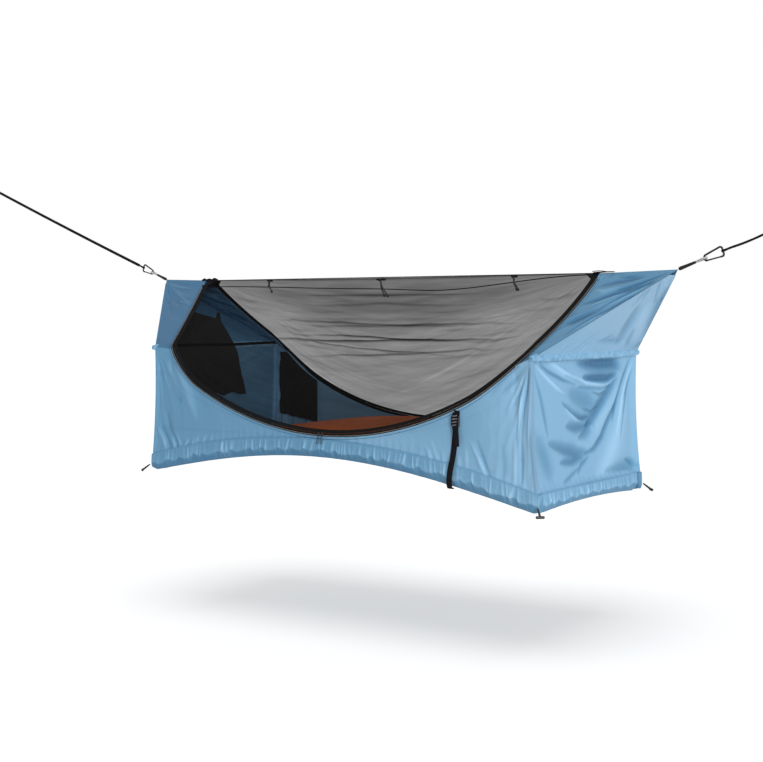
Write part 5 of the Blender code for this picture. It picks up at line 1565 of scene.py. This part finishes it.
def add_back_pocket():
    """The dark panel that hangs on the inside of the back wall, under its zip."""
    line = sorted((top.x, top.z) for top, _ in wall_columns() if top.x > 0.6)
    grid = []
    for n in range(49):
        share = n / 48
        row = []
        for k in range(41):
            across = k / 40
            x = pouch_start + (pouch_width + 0.012 * wobble(share * 5.0, 4.0)) * across
            top = min(pouch_high, along_table(line, x) - 0.004)
            bottom = pouch_low + 0.030 * across + 0.004 * wobble(across * 7.0, 6.0)
            z = bottom + (top - bottom) * share
            fold = 0.0030 * (1 - ridge(across * 9.0 + wobble(share * 3.0, across * 2.0), 1.6))
            row.append(Vector((x, -half_width + pouch_off + fold * math.sin(math.pi * across), z)))
        grid.append(row)
    obj = sheet_piece("back_pocket_cloth", [grid], "pocket_black", "tent", turned=True)
    declare(obj, "dark_cloth", "back_pocket")


add_end_pocket()
add_back_pocket()

# Ridge, ties, pulls and other small soft pieces


ridge_cord_radius, gear_cord_radius, ridge_cord_inset = 0.0020, 0.0021, 0.022


def add_ridge():
    """The ridge cord, the gear line under it, and the knots and tapes that finish both ends."""
    reach = half_ridge - ridge_cord_inset
    line = [Vector((reach * (2 * k / 60 - 1), 0, ridge_height)) for k in range(61)]
    obj = swept("ridge_line", tube(line, ridge_cord_radius, along_y, sides=10), "cord_black", "tent")
    declare(obj, "black_cord", "ridge_cord")
    reach -= seam_gap
    line = []
    for k in range(121):
        at = 2 * k / 120 - 1
        sag = 0.030 + 0.018 * step(at, -1.0, 0.0) + 0.010 * step(at, -0.1, 0.3) - 0.053 * step(at, 0.25, 1.0)
        line.append(Vector((at * reach, 0, ridge_height - sag)))
    obj = swept("gear_cord", tube(line, gear_cord_radius, along_y, sides=10), "cord_black", "tent")
    declare(obj, "black_cord", "gear_line")
    line = [Vector((-1.100 + 0.104 * k / 48, 0.003 * math.sin(k / 3), 0.8405)) for k in range(49)]

    def knots(t):
        pair = 1.3 * bell(t, 0.12, 0.08, 0.07) + 1.0 * bell(t, 0.45, 0.10, 0.08)
        return 1 + pair + 1.6 * bell(t, 0.80, 0.09, 0.10)

    rings = tube(line, 0.0040, along_y, sides=14, bulge=knots)
    declare(swept("left_ridge_knots", rings, "webbing", "tent"), "black_webbing")
    low = straight((-1.049, -0.040, 0.8075), (-1.023, 0.034, 0.8115), 12)
    high = straight((-1.062, -0.004, 0.8385), (-0.976, 0.004, 0.8385), 12)
    for hand, turned in (("left", False), ("right", True)):
        obj = sheet_piece(f"{hand}_ridge_gusset", [between(low, high, 6)], "webbing", "tent", turned)
        declare(obj, "black_webbing")
    seam = [p + along_z * (0.0015 * math.sin(k / 5))
            for k, p in enumerate(straight((-0.9735, -0.372, 0.5350), (-0.9735, 0.385, 0.5350), 40))]
    left = straight((-1.052, -0.046, 0.8105), (-1.026, 0.040, 0.8135), 16)
    right = []
    for k, p in enumerate(straight((1.006, 0, 0.8455), (1.066, 0, 0.8455), 16)):
        right.append(p + along_z * (0.002 * math.sin(math.pi * k / 16) - 0.002 * (k / 16) ** 2))
    for name, line, across, wide, thick in (("left_seam_tape", seam, along_z, 0.0065, 0.0008),
                                            ("left_ridge_tape", left, along_z, 0.0055, 0.0012),
                                            ("right_ridge_tape", right, along_y, 0.0026, 0.0012)):
        declare(swept(name, band(line, across, wide, thick), "webbing", "tent"), "black_webbing")


strap_half_width, strap_half_thickness, strap_low_x, strap_high_x = 0.0125, 0.0009, 0.640, 0.668
strap_top, first_bar, bar_pitch = 0.3289, 0.3069, 0.0115
bar_out, bar_wrap, wall_face = -0.4072, 0.0052, -0.4011
bar_lip, rib_reach, rib_radius = 0.002, 0.0098, 0.0013


def add_wall_strap():
    """The compression strap: a sewn tab round the ladder lock, and the webbing down to the hem."""
    half, tall = strap_half_thickness, strap_top - hem_low(strap_low_x)
    wall_y, bar_y, bar_step = wall_face - half, bar_out - bar_wrap, bar_pitch / 2

    def at(z, y, aside=0.0):
        x = strap_high_x + (strap_low_x - strap_high_x) * (strap_top - z) / tall
        return Vector((x + aside, y, z))

    tab = [at(strap_top, wall_y), at(first_bar - bar_lip, wall_y),
           at(first_bar - bar_step, bar_out + bar_lip), at(first_bar - bar_step, bar_out - bar_lip),
           at(first_bar - bar_lip, bar_y), at(strap_top - 0.0073, bar_y)]
    over, low = first_bar - 2 * bar_pitch, hem_low(strap_low_x + strap_half_width) - 0.003
    seam, bulge = seam_height(strap_low_x), -half_width - hem_bulge - 0.0075
    quarter = (seam - low) / 4
    line = [at(low - half, -half_width + 0.006), at(low - half, bulge + 0.010), at(low + quarter, bulge),
            at(seam - quarter, bulge), at(seam + 2 * quarter, wall_y), at(over + bar_lip, wall_y),
            at(over + bar_step, bar_out + bar_lip), at(over + bar_step, bar_out - bar_lip),
            at(over + bar_lip, bar_y), at(over - bar_pitch, bar_y, 0.003), at(over - 0.045, bar_y, 0.011),
            at(over - 0.088, bar_y, 0.018)]
    for name, path, finer, node in (("strap_tab_webbing", tab, 3, "strap_tab"),
                                    ("wall_strap_webbing", line, 4, "wall_strap")):
        rings = band(smooth_path(path, finer), along_x, strap_half_width, half)
        declare(swept(name, rings, "webbing", "tent"), "black_webbing", node)
    # Light grey ribs laid over the black ladder lock's bars: painted highlights of the bars
    for k in range(4):
        centre = at(first_bar + 0.003 - k * bar_pitch, bar_y - 0.0016)
        line = [centre + Vector((rib_reach * (n / 6 - 1), 0, 0.0016 * (n / 6 - 1))) for n in range(13)]
        rings = tube(line, rib_radius, along_z, sides=10)
        declare(swept(f"ladder_rib_highlight_{k}", rings, "rib_highlight_plastic", "tent"), "moulded_plastic")


tie_drop, knot_radius, tail_radius = 0.0070, 0.0064, 0.0031


def add_tie(hand, size, tails):
    """A knot at the top of the net, and its two loose tails."""
    low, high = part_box(f"{hand}_net_tie")
    low, high = low - MIDDLE, high - MIDDLE
    down = Vector((0, low.y - high.y, low.z - high.z)).normalized()
    top = Vector(((low.x + high.x) / 2, high.y - tie_drop, high.z - tie_drop))
    line = [top + Vector((size * (k / 12 - 1), 0, 0.0012 * math.sin(k / 2))) for k in range(25)]

    def lumps(t):
        return 0.55 + 0.55 * bell(t, 0.35, 0.16, 0.14) + 0.45 * bell(t, 0.70, 0.12, 0.14)

    def knob(t):
        return 1 + 0.9 * bell(t, 0.95, 0.05, 0.05)

    rings = tube(line, knot_radius, along_y, bulge=lumps)
    knot = swept(f"{hand}_tie_knot", rings, "webbing", f"{hand}_tie")
    declare(knot, "black_cord", f"{hand}_net_tie")
    for n, (drift, length) in enumerate(tails):
        line = []
        for k in range(31):
            t = k / 30
            curve = Vector((drift * t**1.3 + 0.0015 * math.sin(9 * t + n), -0.0022 * (1 + n), 0))
            line.append(top + down * (length * t) + curve)
        rings = tube(line, tail_radius, along_x, sides=10, bulge=knob)
        declare(swept(f"{hand}_tie_tail_{n}", rings, "cord_black", f"{hand}_tie"), "black_cord")


add_ridge()
add_wall_strap()
# Each tie: half the knot's length, then how far each tail drifts aside and how long it is
ties = {"left": (0.016, ((0.064, 0.076), (0.022, 0.036))),
        "middle": (0.024, ((0.056, 0.086), (0.078, 0.088))),
        "right": (0.014, ((0.048, 0.078), (0.058, 0.080)))}
for hand, (size, tails) in ties.items():
    add_tie(hand, size, tails)
for hand in ("left", "right"):
    softened(f"{hand}_ridge_anchor", f"{hand}_anchor_knot", "webbing", "tent", "black_webbing")
    slider = f"front_{hand}_zip_slider"
    softened(f"{hand}_pull_cord", f"{hand}_pull_loop", "cord_black", slider, "black_cord")

# Carried-over nodes with their own materials


paints = {f"{hand}_spreader_pole": "pole_metal" for hand in ("left", "right")}
for corner in ("front_left", "front_right", "back_left", "back_right"):
    paints[f"{corner}_slider"] = "dark_metal"
    paints[f"{corner}_toggle"] = "plastic"
paints["ladder_lock"] = "plastic"
for node, paint in paints.items():
    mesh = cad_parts[node].data
    mesh.materials.clear()
    mesh.materials.append(materials[paint])

# Floor of the studio and light

floor_glow, floor_drop, floor_slope, floor_size = 0.50, 0.60, 0.065, 60.0
slope_way = 0.786, 0.618
ground = Paint("studio_floor", Roughness=0.9, Specular_IOR_Level=0.0)
ground.colour(rgb(0.80, 0.80, 0.80))
rays = ground.add("LightPath").outputs
seen = ground.plus(rays["Is Camera Ray"], ground.plus(rays["Is Glossy Ray"], rays["Is Transmission Ray"]))
seen = ground.math("MINIMUM", seen, 1.0)
ground.shader.inputs["Emission Color"].default_value = rgb(1, 1, 1)
ground.put(ground.times(seen, floor_glow), ground.shader.inputs["Emission Strength"])
mesh = bpy.data.meshes.new("studio_floor")
corners = []
for x, y in ((-1, -1), (1, -1), (1, 1), (-1, 1)):
    x, y = x * floor_size, y * floor_size
    away = (x - MIDDLE.x) * slope_way[0] + y * slope_way[1]
    corners.append((x, y, MIDDLE.z - floor_drop + floor_slope * away))
mesh.from_pydata(corners, [], [(0, 1, 2, 3)])
mesh.materials.append(materials["studio_floor"])
studio = bpy.data.objects.new("studio_floor", mesh)
bpy.context.scene.collection.objects.link(studio)

# The world is white to the eye and in reflections, and dimmer as a light
world_light = 0.34
world = bpy.data.worlds.new("studio")
bpy.context.scene.world = world
world.use_nodes = True
tree = world.node_tree
background = tree.nodes["Background"]
rays = tree.nodes.new("ShaderNodeLightPath").outputs
total = rays["Is Camera Ray"]
for name in ("Is Glossy Ray", "Is Transmission Ray"):
    adder = tree.nodes.new("ShaderNodeMath")
    adder.operation = "ADD"
    adder.use_clamp = True
    tree.links.new(total, adder.inputs[0])
    tree.links.new(rays[name], adder.inputs[1])
    total = adder.outputs[0]
level = tree.nodes.new("ShaderNodeMapRange")
tree.links.new(total, level.inputs[0])
level.inputs[3].default_value = world_light
level.inputs[4].default_value = 1.0
tree.links.new(level.outputs[0], background.inputs["Strength"])
background.inputs["Color"].default_value = rgb(1, 1, 1)


def sun(name, towards, strength, angle, only_floor):
    """A soft sun; the studio floor has one of its own and is left out of the others."""
    data = bpy.data.lights.new(name, "SUN")
    data.energy = strength
    data.angle = math.radians(angle)
    obj = bpy.data.objects.new(name, data)
    bpy.context.scene.collection.objects.link(obj)
    obj.rotation_euler = Vector(towards).to_track_quat("Z", "Y").to_euler()
    obj.location = Vector(towards) * 5
    lit = bpy.data.collections.new(f"{name}_lit")
    lit.objects.link(studio)
    lit.collection_objects[0].light_linking.link_state = "INCLUDE" if only_floor else "EXCLUDE"
    obj.light_linking.receiver_collection = lit


sun("key_light", (0.80, -0.58, 0.12), 2.75, 26, False)
sun("top_light", (0.10, -0.05, 1.0), 0.40, 50, False)
sun("floor_light", (0.05, -0.15, 1.0), 1.10, 40, True)
bpy.context.scene.view_settings.view_transform = "Standard"
